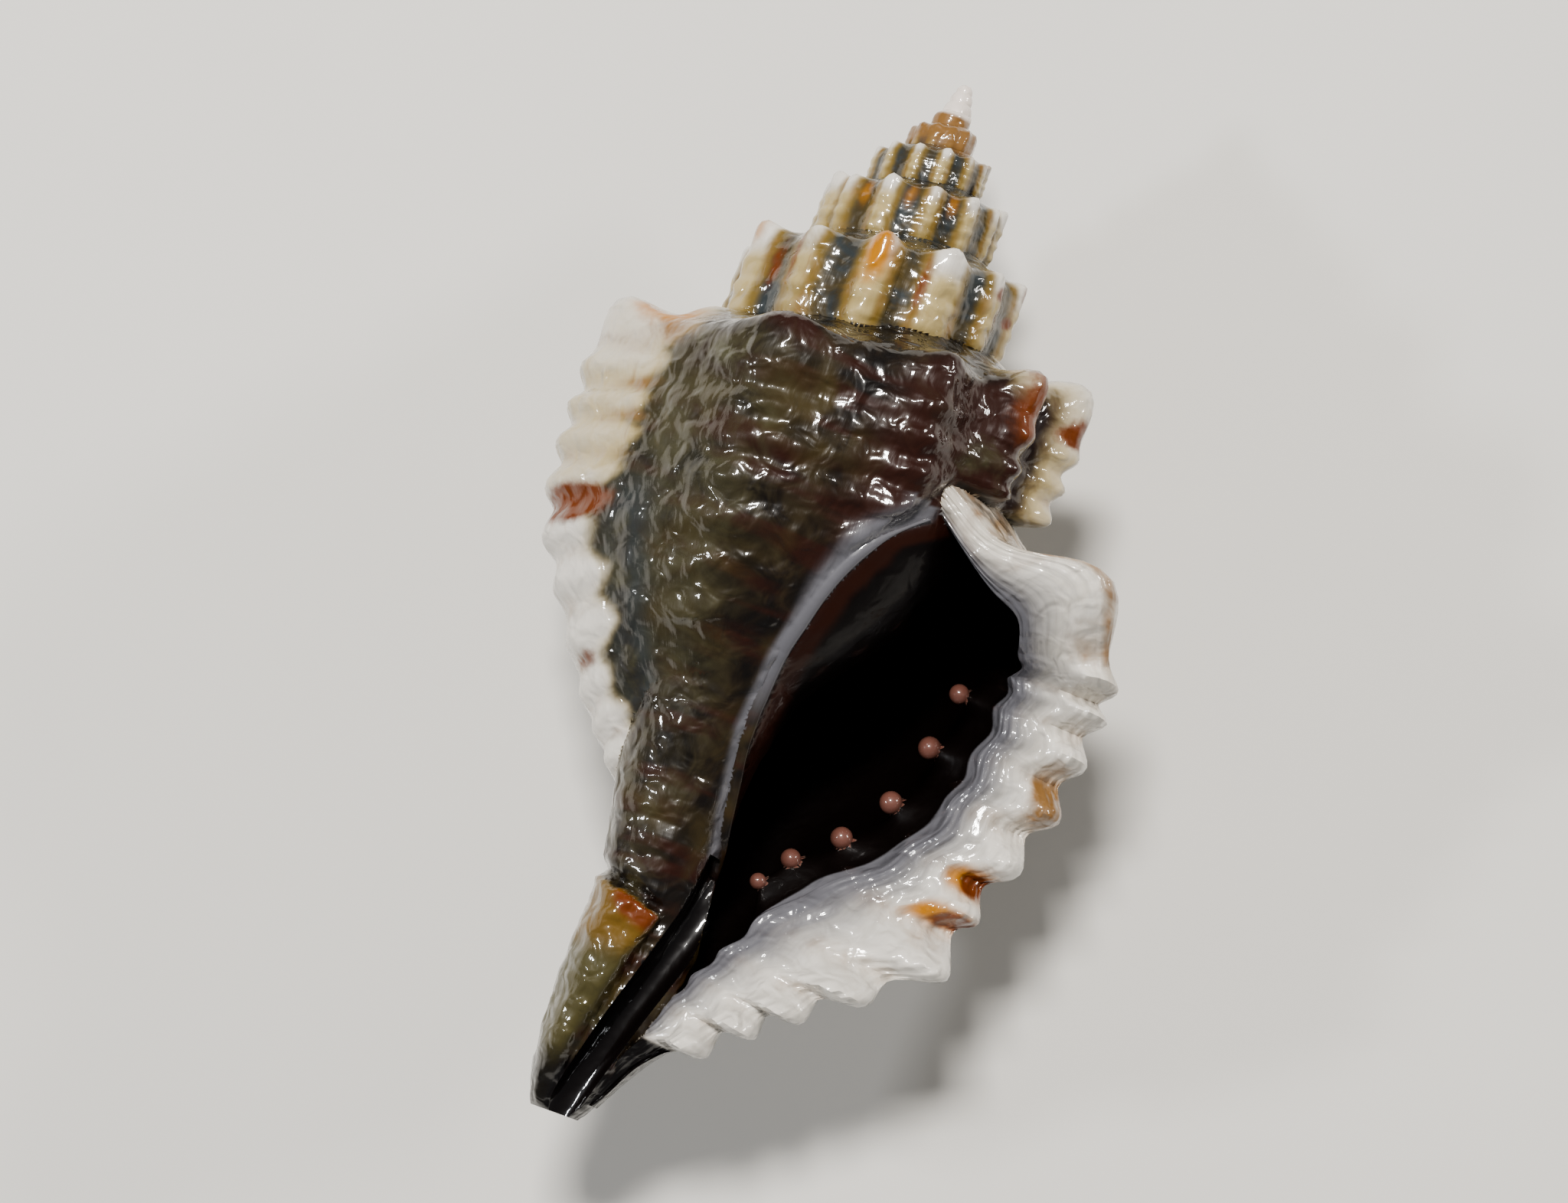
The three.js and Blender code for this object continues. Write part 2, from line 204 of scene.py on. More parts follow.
class ShellColours(bpy.types.PropertyGroup):
    cream: colour("Cream", "Ribs and varices", "#a8976c")
    white: colour("White", "Crests and lip", "#cdc8bf")
    ochre: colour("Ochre", "Flanks of the spire ribs", "#6f5c2c")
    # Tan also paints shade in the pits between the cords.
    tan: colour("Tan", "Stains on the pale shell", "#7d5c34")
    orange: colour("Orange", "Brightest rib and rib flanks", "#a86f1c")
    rust: colour("Rust", "Squares on the ribs", "#66320f")
    # Slate also paints the shade of the hollow strip beside the left varix.
    slate_and_hollow_shade: colour("Slate", "Between the ribs of the spire", "#303536")
    olive: colour("Olive", "Between the spire ribs, and in patches of the body whorl", "#3f341b")
    umber: colour("Umber", "Darkest glaze of the body whorl", "#100a06")
    oxblood: colour("Oxblood", "Red streaks of the body whorl", "#2e140a")
    moss: colour("Moss", "Olive-brown glaze of the body whorl", "#2b2012")
    reed: colour("Reed", "Old canal end below its broken top", "#4a4428")
    lichen: colour("Lichen", "Greenish lumps and patches of the body whorl", "#46432f")
    # Lavender also paints a highlight along the glossy edge of the glaze on the column.
    lavender: colour("Lavender", "Inner margin of the lip and the callus", "#646367")
    mouth: colour("Mouth", "Inside of the mouth", "#0b0504")
    shine: colour("First whorls", "Swollen turns at the apex", "#d8cdc4")
    blush: colour("Blush", "Teeth", "#6a473e")
    amber: colour("Amber", "Old canal end", "#69501f")


# ---- Curves and noise ---------------------------------------------------------------------
def look_up(table, x, column=1):
    rows = np.array(table)
    return np.interp(x, rows[:, 0], rows[:, column])


def smooth_table(table, column=1, blur=0.35, step=0.02):
    """A table's column as a smooth curve: many places and the value at each."""
    rows = np.array(table)
    places = np.arange(rows[0, 0], rows[-1, 0] + step / 2, step)
    values = np.interp(places, rows[:, 0], rows[:, column])
    reach = int(4 * blur / step)
    weights = np.exp(-0.5 * (np.arange(-reach, reach + 1) * step / blur) ** 2)
    padded = np.pad(values, reach, mode="reflect", reflect_type="odd")
    return places, np.convolve(padded, weights / weights.sum(), mode="valid")


def ease(x, low, high):
    share = np.clip((np.asarray(x, float) - low) / (high - low), 0, 1)
    return share * share * (3 - 2 * share)


def hump(x, centre, half_width):
    return np.exp(-(((np.asarray(x, float) - centre) / half_width) ** 2))


def lattice_noise(u, v, seed):
    """Smooth noise between -1 and 1 whose cells are 1 wide."""
    size = 128
    values = np.random.default_rng(seed).uniform(-1, 1, (size, size))
    iu, iv = np.floor(u).astype(int), np.floor(v).astype(int)
    fu, fv = ease(u - iu, 0, 1), ease(v - iv, 0, 1)
    a, b = values[iu % size, iv % size], values[(iu + 1) % size, iv % size]
    c, d = values[iu % size, (iv + 1) % size], values[(iu + 1) % size, (iv + 1) % size]
    return (a * (1 - fu) + b * fu) * (1 - fv) + (c * (1 - fu) + d * fu) * fv


OUTLINE = smooth_table(WHORL_OUTLINE, blur=0.3)
INSET = smooth_table(LIP_INSET, blur=0.4)


def outline_radius(station):
    return np.interp(station, *OUTLINE)


# ---- The coil -------------------------------------------------------------------------------
class Coil:
    """The swept surface of the shell, in millimetres from the apex."""

    def __init__(self, sizes):
        self.growth = sizes.growth
        self.rib_tall = sizes.rib_height / MM
        self.cord_tall = sizes.cord_height / MM
        self.spine_tall = sizes.spine_height / MM
        self.flare = sizes.lip_flare / MM
        self.grain = sizes.grain_height / MM

    def scale(self, phase):
        return self.growth ** (np.minimum(phase, 0.02) / 2)

    def surface_mm(self, phase, station):
        """Places on the surface in real millimetres: round the coil, and across it."""
        scale = self.scale(phase)
        round_coil = 2 * math.pi * WHORL_RADIUS * scale / math.log(self.growth)
        return round_coil + np.pi * WHORL_RADIUS * np.maximum(phase, 0), station * scale

    def rib_mask(self, phase):
        """Height of the ribs by phase, at the size of the lip."""
        body = np.zeros_like(phase)
        for centre, tall, half_width in BODY_RIBS:
            body = np.maximum(body, tall * hump(phase, centre, half_width))
        shift = RIB_OFFSET - SPIRE_STAGGER * (phase < -4.03) * RIB_PITCH
        number = np.round((phase - shift) / RIB_PITCH)
        centre = shift + RIB_PITCH * number
        uneven = 1 + 0.16 * np.sin(number * 2.4)
        spire = self.rib_tall * uneven * hump(phase, centre, RIB_WIDTH)
        for varix, tall in SPIRE_VARICES:
            spire = np.maximum(spire, self.rib_tall * tall * hump(phase, varix, RIB_WIDTH * 1.25))
        return np.where(phase > LAST_WHORL_START, body, spire * ease(phase, -11, -9))

    def cord_mask(self, station):
        crest = np.zeros_like(station)
        for cord, half_width in CORDS:
            crest = np.maximum(crest, hump(station, cord, half_width))
        return crest

    def knobs(self, phase, station):
        return sum(tall * hump(phase, at_phase, wide) * hump(station, at_station, high)
                   for at_phase, at_station, wide, high, tall in KNOBS)

    def rib_along(self, station):
        shoulder = 0.05 + 1.2 * ease(station, 11.5, 12.6) - 0.3 * ease(station, 12.9, 14.2)
        return shoulder * (1 - 0.6 * ease(station, 17, 24)) * (1 - ease(station, 25.5, 28.5))

    def open_mask(self, phase, station):
        """1 on the outside, 0 under the smooth glaze inside the mouth."""
        along = station * self.scale(phase)
        turn = phase + 2
        edge = np.where(turn < 0.3, 10.9, 10.9 + (turn - 0.3) * 23)
        glazed = (turn <= 0.46) & (turn >= -1.1)
        return np.where(glazed, 1 - ease((along - edge) / 0.5, 0, 1), 1.0)

    def young_taper(self, phase):
        return 1 - 0.15 * (1 - ease(phase, -12, -8))

    def lip_drop(self, phase, station):
        near = ease(phase, -0.3, 0) * ease(station, 10.6, 12.2)
        return LIP_DROP * near * (1 - ease(station, 13, 16))

    def wrinkles(self, phase, station):
        """Broken growth wrinkles and fine threads, as a height at real size."""
        u, v = self.surface_mm(phase, station)
        lines = lattice_noise(u / 0.34, v / 1.9, 3) * 0.6 + lattice_noise(u / 0.8, v / 0.6, 4)
        threads = np.sin(2 * np.pi * station / 0.72) * (0.4 + 0.6 * lattice_noise(u / 1.3, v / 2.0, 5))
        pillows = lattice_noise(u / 2.1, v / 1.5, 6) * hump(phase, -1.6, 0.45)
        return self.grain * (0.3 * lines + 0.15 * threads + 1.9 * pillows)

    def outside(self, phase, station):
        """Station and radius of the outer surface, at the size of the lip."""
        step = 0.3
        radius = outline_radius(station)
        slope = (outline_radius(station + step) - outline_radius(station - step)) / (2 * step)
        rib = self.rib_mask(phase) * self.rib_along(station)
        at_lip = ease(phase, -0.13, -0.02)
        cord = self.cord_mask(station) * np.maximum(
            self.cord_tall * (0.35 + 1.9 * np.minimum(rib, 1)),
            (LIP_SCALLOP + 0.15 * ease(station, 20, 24)) * at_lip)
        cord = cord * np.where(phase > LAST_WHORL_START, 1, 0.5) + self.knobs(phase, station)
        open_air = self.open_mask(phase, station)
        scale = self.scale(phase)
        height = (rib + cord) * open_air + self.wrinkles(phase, station) / scale * open_air
        size = np.hypot(slope, 1)
        flare = self.flare * ease(phase, -0.2, 0) * hump(station, 22.6, 1.6)
        spine = self.spine_tall * np.clip(rib / 0.7, 0, 1.1) ** 3 * hump(station, 12.45, 0.4) * open_air
        spine = spine * np.where(phase > LAST_WHORL_START, 0.15, 1)
        drop = self.lip_drop(phase, station)
        along = station + drop - height * slope / size - 0.55 * spine
        return along, radius + flare + height / size + 0.5 * spine

    def lip_advance(self, phase, station):
        """The lip's upper end runs forward on to the whorl before it."""
        upper = 0.34 * np.exp((10.6 - station) / 2.4)
        return (upper + 0.16 * ease(station, 21, 27)) * ease(phase, -0.6, 0)

    def place(self, phase, station, radius):
        """Right, front and along the axis, in millimetres from the apex."""
        scale = self.scale(phase)
        angle = np.pi * phase
        along = station * scale
        bend = np.maximum(0, along - 22) / 7.6
        right = radius * scale * np.cos(angle) - 1.05 * bend ** 1.6
        front = radius * scale * np.sin(angle) - 1.2 * bend ** 2
        return np.stack(np.broadcast_arrays(right, front, along), axis=-1)

    def inset(self, phase, station):
        ridge = TOOTH_RIDGE * hump(phase, -0.08, 0.06) * ease(station, 13, 15) * (1 - ease(station, 22, 24))
        near = ease(phase, -0.35, -0.08)
        wavy = 0.2 * (self.cord_mask(station) - 0.5) * ease(phase, -0.12, 0)
        for tooth, radius in TEETH:
            ridge = ridge + 1.6 * radius * hump(station, tooth, 0.4) * hump(phase, TOOTH_PHASE, 0.035)
        return DEEP_INSET * (1 - near) + np.interp(station, *INSET) * near + ridge - wavy

    def inside(self, phase, station):
        deep = self.inset(phase, station)
        along = station + self.lip_drop(phase, station) + deep * (1 - ease(station, 12, 15))
        return along, np.maximum(outline_radius(station) - deep, 0.3)


def even_stations(first, last, count):
    """Stations spaced evenly along the generating curve."""
    places, radii = OUTLINE
    run = np.concatenate([[0], np.cumsum(np.hypot(np.diff(places), np.diff(radii)))])
    inside = np.interp([first, last], places, run)
    return np.interp(np.linspace(*inside, count), run, places)


def even_phases(first, last, step):
    return np.linspace(first, last, int(round((last - first) / step)) + 1)


# ---- Mesh making --------------------------------------------------------------------------
SHELL_LOW, SHELL_HIGH = (np.array(corner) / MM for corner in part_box("shell"))
APEX = np.array([(SHELL_LOW[0] + SHELL_HIGH[0]) / 2, SHELL_HIGH[1], SHELL_LOW[2]]) + APEX_FROM_BOX
# The turn from right, away and front to the row's axes.
REST_TURN = np.array(Matrix.Rotation(REST_ROLL, 3, "Y") @ Matrix.Rotation(REST_TILT, 3, "X"))


def to_world(points):
    """Right, front and along from the apex, in millimetres, to metres in the row's frame."""
    upright = np.stack([points[..., 0], -points[..., 2], points[..., 1]], axis=-1)
    return (upright @ REST_TURN.T + APEX) * MM


def from_world(points):
    upright = (points / MM - APEX) @ REST_TURN
    return np.stack([upright[..., 0], upright[..., 2], -upright[..., 1]], axis=-1)


def deselect_all():
    if bpy.context.mode != "OBJECT":
        bpy.ops.object.mode_set(mode="OBJECT")
    bpy.ops.object.select_all(action="DESELECT")


def make_active(piece):
    deselect_all()
    piece.select_set(True)
    bpy.context.view_layer.objects.active = piece


def write_attribute(mesh, name, values):
    layer = mesh.attributes.get(name) or mesh.attributes.new(name, "FLOAT", "POINT")
    layer.data.foreach_set("value", np.ascontiguousarray(values, dtype=np.float32).ravel())


def read_attribute(mesh, name):
    values = np.zeros(len(mesh.vertices), dtype=np.float32)
    mesh.attributes[name].data.foreach_get("value", values)
    return values


def read_points(mesh):
    flat = np.zeros(len(mesh.vertices) * 3)
    mesh.vertices.foreach_get("co", flat)
    return flat.reshape(-1, 3)


def roll_up(name, rings, marks, coil_uv):
    """Rolls a grid primitive into a closed body: each row of the grid becomes one ring."""
    rows, columns = rings.shape[:2]
    deselect_all()
    bpy.ops.mesh.primitive_grid_add(x_subdivisions=columns, y_subdivisions=rows - 1, size=1)
    piece = bpy.context.object
    piece.name = name
    mesh = piece.data
    mesh.name = name
    flat = read_points(mesh)
    column = np.rint((flat[:, 0] + 0.5) * columns).astype(int)
    row = np.rint((flat[:, 1] + 0.5) * (rows - 1)).astype(int)
    wrapped = column % columns
    mesh.vertices.foreach_set("co", to_world(rings)[row, wrapped].ravel())
    for mark, values in marks.items():
        write_attribute(mesh, mark, np.broadcast_to(values, (rows, columns))[row, wrapped])
    corners = np.zeros(len(mesh.loops), dtype=np.int32)
    mesh.loops.foreach_get("vertex_index", corners)
    closed = np.concatenate([coil_uv, coil_uv[:, :1]], axis=1)
    uv = mesh.uv_layers.new(name="Coil")
    uv.data.foreach_set("uv", closed[row, column][corners].astype(np.float32).ravel())
    for other in [layer for layer in mesh.uv_layers if layer.name != "Coil"]:
        mesh.uv_layers.remove(other)
    bpy.ops.object.mode_set(mode="EDIT")
    bpy.ops.mesh.select_all(action="SELECT")
    bpy.ops.mesh.remove_doubles(threshold=1e-7)
    bpy.ops.mesh.select_all(action="SELECT")
    bpy.ops.mesh.fill_holes(sides=0)
    bpy.ops.mesh.select_all(action="SELECT")
    bpy.ops.mesh.normals_make_consistent(inside=False)
    bpy.ops.object.mode_set(mode="OBJECT")
    return piece


def boolean(piece, other, operation):
    """Joins or cuts one closed body with another, which is then removed."""
    modifier = piece.modifiers.new(operation.title(), "BOOLEAN")
    modifier.operation = operation
    modifier.solver = "MANIFOLD"
    modifier.object = other
    make_active(piece)
    before = len(piece.data.vertices)
    bpy.ops.object.modifier_apply(modifier=modifier.name)
    if not len(piece.data.vertices) or len(piece.data.vertices) == before:
        raise RuntimeError(f"{other.name} could not be joined to {piece.name}")
    mesh = other.data
    bpy.data.objects.remove(other)
    bpy.data.meshes.remove(mesh)
    return piece


# ---- Parts of the shell -----------------------------------------------------------------
SOURCE = {"whorl": 0.0, "wall": 1.0, "neck": 2.0, "tooth": 3.0, "callus": 4.0, "canal": 5.0}


def marks_of(phase, station, source, depth=0.0):
    """What every vertex remembers: its place on the coil and which body it came from."""
    shape = np.broadcast(phase, station).shape
    return {
        "phase": np.broadcast_to(phase, shape),
        "station": np.broadcast_to(station, shape),
        "source": np.full(shape, SOURCE[source]),
        "depth": np.broadcast_to(depth, shape),
    }


def whorl_stretch(coil, first, last, step, stations):
    """A stretch of whorl, solid to the axis. It starts a little small, inside the one before."""
    phases = even_phases(first - step, last, step)[:, None]
    across = np.asarray(stations)[None, :]
    taper = coil.young_taper(phases) * np.where(np.arange(len(phases)) == 0, BURIED, 1)[:, None]
    along, radius = coil.outside(phases, across)
    skin = coil.place(phases + coil.lip_advance(phases, across), along, radius * taper)
    core_station = np.array([28.6, 9.2, 9.6])[None, :]
    core_radius = np.array([AXIS_GAP, AXIS_GAP, 2.4])[None, :]
    core = coil.place(phases, core_station, core_radius * taper)
    rings = np.concatenate([skin, core], axis=1)
    whole = np.concatenate([np.broadcast_to(across, along.shape),
                            np.broadcast_to(core_station, (len(phases), 3))], axis=1)
    marks = marks_of(np.broadcast_to(phases, whole.shape), whole, "whorl")
    uv = np.stack(coil.surface_mm(np.broadcast_to(phases, whole.shape), whole), axis=-1)
    return roll_up("Whorl", rings, marks, uv)


def spire_stations(fine, coarse=8):
    return np.concatenate([even_stations(*SPIRE_STATIONS, fine), even_stations(*HIDDEN_STATIONS, coarse)])


def last_whorl(coil):
    """The open half turn: outer wall, rounded lip and inner wall as one closed body."""
    step = 0.0075
    stations = even_stations(*WHORL_STATIONS, 150)[None, :]
    phases = even_phases(HOLLOW_PHASE - 3 * step, 0, step)
    rolls = np.radians(np.linspace(0, 90, 25))[1:]
    every_phase = np.concatenate([phases, np.zeros(len(rolls))])[:, None]
    roll = np.concatenate([np.zeros(len(phases)), rolls])[:, None]
    along, radius = coil.outside(every_phase, stations)
    inner_along, inner_radius = coil.inside(every_phase, stations)
    middle, middle_radius = (along + inner_along) / 2, (radius + inner_radius) / 2
    shrink = np.cos(roll)
    shrink[0] = 0.86
    waves = coil.cord_mask(stations)
    u, v = coil.surface_mm(every_phase, stations)
    reach = LIP_BULGE * 0.85 * np.sin(roll)
    folds = (waves - 0.45) * np.sin(2 * roll) * ease(stations, 12, 14)
    layers = np.sin(roll * 22 + 2.2 * lattice_noise(stations / 1.1, roll * 2, 8) + 2 * waves)
    crumple = lattice_noise(stations / 0.6, roll * 5, 9)
    reach = reach + (0.035 * layers + 0.045 * crumple) * np.sin(roll * 2)
    forward = every_phase + coil.lip_advance(every_phase, stations)
    per_mm = 1 / (np.pi * np.maximum(radius, 2))
    outer = coil.place(forward + (reach + LIP_FOLD * folds) * per_mm, middle + (along - middle) * shrink,
                       middle_radius + (radius - middle_radius) * shrink)
    inner = coil.place(forward + (reach + 0.4 * LIP_FOLD * folds) * per_mm,
                       middle + (inner_along - middle) * shrink,
                       middle_radius + (inner_radius - middle_radius) * shrink)
    rings = np.concatenate([outer, inner[:, ::-1]], axis=1)
    whole_station = np.broadcast_to(stations, along.shape)
    whole_phase = np.broadcast_to(every_phase, along.shape)
    half = np.broadcast_to(roll / math.pi, along.shape)
    out_marks = marks_of(whole_phase, whole_station, "whorl", half)
    in_marks = marks_of(whole_phase, whole_station[:, ::-1], "wall", (1 - half)[:, ::-1])
    marks = {key: np.concatenate([out_marks[key], in_marks[key]], axis=1) for key in out_marks}
    u, v = np.broadcast_arrays(u, v)
    u = u + 1.6 * roll
    uv = np.concatenate([np.stack([u, v], -1), np.stack([u + 1.6, v], -1)[:, ::-1]], axis=1)
    return roll_up("Last_whorl", rings, marks, uv)


def neck_body():
    """The column that the coil turns round, with the old canal end on its left."""
    along = np.arange(NECK[0][0], NECK[-1][0] + 0.05, 0.1)[:, None]
    sides = 96
    angle = np.linspace(0, 2 * math.pi, sides, endpoint=False)[None, :]
    right, front, wide, deep = [np.interp(along, *smooth_table(NECK, column, 0.45))
                                for column in (1, 2, 3, 4)]
    across = right + wide * np.cos(angle)
    edge = look_up(OLD_CANAL_LINE, along)
    left_face = ease(edge - across, 0, 0.25) * ease(np.sin(angle), -0.75, -0.35)
    ragged = 0.12 * lattice_noise(across / 0.3, 0 * across, 21)
    broken = OLD_CANAL_START + 0.5 * ease(across, -2.2, 0) + ragged
    old = left_face * ease(along - broken, 0, 0.14)
    lines = lattice_noise(along / 0.16, angle * 1.5, 22) * 0.6 + lattice_noise(along / 0.5, angle * 2, 23)
    groove = hump(edge - across, -0.02, 0.13) * ease(along, 24, 24.6) * ease(np.sin(angle), -0.75, -0.35)
    notch = hump(along, broken - 0.16, 0.16) * left_face
    step = OLD_CANAL_STEP * old * (0.25 + 0.75 * ease(across - right, -wide, -0.55 * wide))
    lift = step - 0.16 * groove - 0.2 * notch + (0.03 + 0.02 * old) * lines
    points = np.stack(np.broadcast_arrays(
        right + (wide + lift) * np.cos(angle), front + (deep + lift) * np.sin(angle), along), axis=-1)
    marks = marks_of(angle + 0 * along, along + 0 * angle, "neck", old)
    uv = np.stack(np.broadcast_arrays(angle * 1.8, along), axis=-1)
    return roll_up("Column", points, marks, uv)


def gutter_body():
    """The slot that opens the canal to the front."""
    along = np.arange(GUTTER[0][0], GUTTER[-1][0] + 0.1, 0.15)[:, None]
    right, front, radius = [np.interp(along, *smooth_table(GUTTER, column, 0.35)) for column in (1, 2, 3)]
    angle = np.linspace(math.pi, 2 * math.pi, 17)[None, :]
    across = right + radius * np.cos(angle)
    depth = front + radius * np.sin(angle)
    opening = front + GUTTER_REACH
    left, far = right - radius * 1.15, right + radius * 1.15
    across = np.concatenate([left, across, far], axis=1)
    depth = np.concatenate([opening, depth, opening], axis=1)
    points = np.stack([across, depth, along + 0 * across], axis=-1)
    marks = marks_of(0 * across, along + 0 * across, "canal")
    uv = np.stack([depth * 2 + across, along + 0 * across], axis=-1)
    return roll_up("Gutter", points, marks, uv)


def small_ball(name, centre, radius, source):
    """A ball, from a sphere primitive, marked as shell of the named kind."""
    deselect_all()
    place = to_world(np.array(centre))
    bpy.ops.mesh.primitive_uv_sphere_add(segments=24, ring_count=14, radius=radius * MM, location=place)
    bpy.ops.object.transform_apply(location=True, rotation=True, scale=True)
    piece = bpy.context.object
    piece.name = name
    mesh = piece.data
    for mark, value in (("phase", FIRST_PHASE), ("station", 12.0), ("depth", 0.0)):
        write_attribute(mesh, mark, np.full(len(mesh.vertices), value))
    write_attribute(mesh, "source", np.full(len(mesh.vertices), SOURCE[source]))
    mesh.uv_layers[0].name = "Coil"
    return piece


def axis_core(coil):
    """A thin cone that fills the axis."""
    along = np.array([0.35, 9, 18, 27])[:, None]
    angle = np.linspace(0, 2 * math.pi, 8, endpoint=False)[None, :]
    radius = 0.014 * along
    points = np.stack(np.broadcast_arrays(
        radius * np.cos(angle), radius * np.sin(angle), along), axis=-1)
    shape = points.shape[:2]
    marks = marks_of(np.full(shape, FIRST_PHASE), np.full(shape, 12.0), "whorl")
    return roll_up("Axis", points, marks, points[..., :2])


def callus_ridge(shell, width):
    """The raised edge of the glaze, laid on the front of the shell from the mouth's top down."""
    tree = BVHTree.FromObject(shell, bpy.context.evaluated_depsgraph_get())
    along = np.linspace(CALLUS_LINE[0][0], CALLUS_LINE[-1][0], 90)
    right = np.interp(along, *smooth_table(CALLUS_LINE, blur=0.5))
    centres = []
    for x, t in zip(right, along):
        above, below = to_world(np.array([[x, 12.0, t], [x, 0.0, t]]))
        hit = tree.ray_cast(Vector(above), Vector(below - above).normalized())[0]
        if hit is None:
            raise RuntimeError("the callus ridge misses the shell")
        centres.append(from_world(np.array(hit)))
    centres = np.array(centres)
    kernel = np.ones(9) / 9
    front = np.convolve(np.pad(centres[:, 1], 4, mode="edge"), kernel, mode="valid")
    taper = 0.3 + 0.7 * ease(along, along[0], along[0] + 1.5)
    taper = taper * (1 - 0.8 * ease(along, along[-1] - 1.6, along[-1]))
    angle = np.linspace(0, 2 * math.pi, 20, endpoint=False)[None, :]
    size = (width * taper * (1 + 0.08 * lattice_noise(along / 0.7, 0 * along, 31)))[:, None]
    points = np.stack(np.broadcast_arrays(
        right[:, None] + size * np.cos(angle) * 1.1,
        front[:, None] + size * (0.75 * np.sin(angle) - 0.35), along[:, None]), axis=-1)
    marks = marks_of(angle + 0 * along[:, None], along[:, None] + 0 * angle, "callus")
    uv = np.stack(np.broadcast_arrays(angle * 0.3, along[:, None]), axis=-1)
    return roll_up("Callus", points, marks, uv)


def keep_largest(piece):
    """Drops the sealed spaces and scraps that joining leaves behind."""
    mesh = bmesh.new()
    mesh.from_mesh(piece.data)
    mesh.verts.ensure_lookup_table()
    seen, islands = set(), []
    for start in mesh.verts:
        if start.index in seen:
            continue
        island, queue = [], [start]
        seen.add(start.index)
        while queue:
            vertex = queue.pop()
            island.append(vertex)
            for edge in vertex.link_edges:
                other = edge.other_vert(vertex)
                if other.index not in seen:
                    seen.add(other.index)
                    queue.append(other)
        islands.append(island)
    islands.sort(key=len)
    scraps = [vertex for island in islands[:-1] for vertex in island]
    bmesh.ops.delete(mesh, geom=scraps, context="VERTS")
    mesh.to_mesh(piece.data)
    mesh.free()


def select_points(mesh, chosen):
    mesh.vertices.foreach_set("select", np.asarray(chosen, dtype=bool))
    mesh.edges.foreach_set("select", np.zeros(len(mesh.edges), dtype=bool))
    mesh.polygons.foreach_set("select", np.zeros(len(mesh.polygons), dtype=bool))


def soften_joint(shell):
    """Rounds the corner where the whorl's base runs on to the column, on the front and left."""
    mesh = shell.data
    right, front, along = from_world(read_points(mesh)).T
    source = np.rint(read_attribute(mesh, "source"))
    for reach, turns in [(1.5, 14), (0.9, 10)]:
        chosen = (np.abs(along - 17.6 - 0.25 * right) < reach) & (front > -1.5)
        chosen &= (right < look_up(CALLUS_LINE, along) - 0.1) & (np.hypot(right, front) < 4.4)
        chosen &= np.isin(source, (SOURCE["whorl"], SOURCE["neck"]))
        make_active(shell)
        bpy.ops.object.mode_set(mode="EDIT")
        bpy.ops.mesh.select_mode(type="VERT")
        bpy.ops.mesh.select_all(action="DESELECT")
        bpy.ops.object.mode_set(mode="OBJECT")
        select_points(mesh, chosen)
        bpy.ops.object.mode_set(mode="EDIT")
        bpy.ops.mesh.vertices_smooth(factor=0.5, repeat=turns)
        bpy.ops.object.mode_set(mode="OBJECT")


# ---- Markings -------------------------------------------------------------------------------
def spots(phase, station, places):
    """The strongest of some soft spots: phase, station, half widths, strength."""
    best = np.zeros_like(phase)
    for at_phase, at_station, wide, tall, strength in places:
        best = np.maximum(best, strength * hump(phase, at_phase, wide) * hump(station, at_station, tall))
    return best


# Rust squares and streaks: phase, station, half widths, strength.
RUST_SPOTS = [
    (-1.94, 11.75, 0.04, 0.42, 1.0), (-1.93, 13.3, 0.04, 0.42, 1.0), (-1.08, 18.65, 0.075, 0.65, 1.2),
    (-1.06, 23.2, 0.05, 0.35, 0.75), (-0.93, 15.9, 0.05, 0.35, 0.8), (-0.93, 21.7, 0.05, 0.35, 0.8),
    (-3.19, 14.2, 0.022, 2.0, 0.7), (-3.25, 13.6, 0.016, 2.6, 0.6), (-3.56, 14.4, 0.02, 2.0, 0.7),
    (-3.79, 13.3, 0.03, 0.5, 0.9), (-3.9, 14.6, 0.03, 0.5, 0.9), (-3.95, 12.8, 0.03, 0.5, 0.8),
    (-4.08, 13.4, 0.03, 0.5, 0.8), (-1.78, 13.2, 0.04, 1.6, 0.75),
]
ORANGE_SPOTS = [
    (-3.44, 13.2, 0.034, 1.8, 0.95), (-1.11, 12.1, 0.05, 0.55, 1.0), (-3.11, 12.6, 0.03, 0.6, 0.7),
    (-5.44, 13.4, 0.03, 1.6, 0.6), (-5.61, 13.4, 0.03, 1.6, 0.6), (-5.27, 13.4, 0.03, 1.6, 0.55),
]
STRONGEST_MARK = 1.3
# Brown marks on the face of the lip: station, half height, strength.
LIP_SPOTS = [(20.2, 0.38, 1.0), (21.3, 0.36, 1.0)]


def fill_seams(mesh):
    """Joining leaves the new points on a seam unmarked, so each takes a neighbour's marks."""
    marks = {name: read_attribute(mesh, name) for name in ("phase", "station", "source", "depth")}
    blank = marks["station"] == 0
    ends = np.zeros(len(mesh.edges) * 2, dtype=np.int32)
    mesh.edges.foreach_get("vertices", ends)
    ends = np.concatenate([ends.reshape(-1, 2), ends.reshape(-1, 2)[:, ::-1]])
    while blank.any():
        useful = ends[blank[ends[:, 0]] & ~blank[ends[:, 1]]]
        if not len(useful):
            raise RuntimeError("some points of the shell have no marks")
        beside_tooth = marks["source"][useful[:, 1]] != SOURCE["tooth"]
        useful = useful[np.argsort(beside_tooth, kind="stable")]
        for values in marks.values():
            values[useful[:, 0]] = values[useful[:, 1]]
        blank[useful[:, 0]] = False
    for name, values in marks.items():
        write_attribute(mesh, name, values)


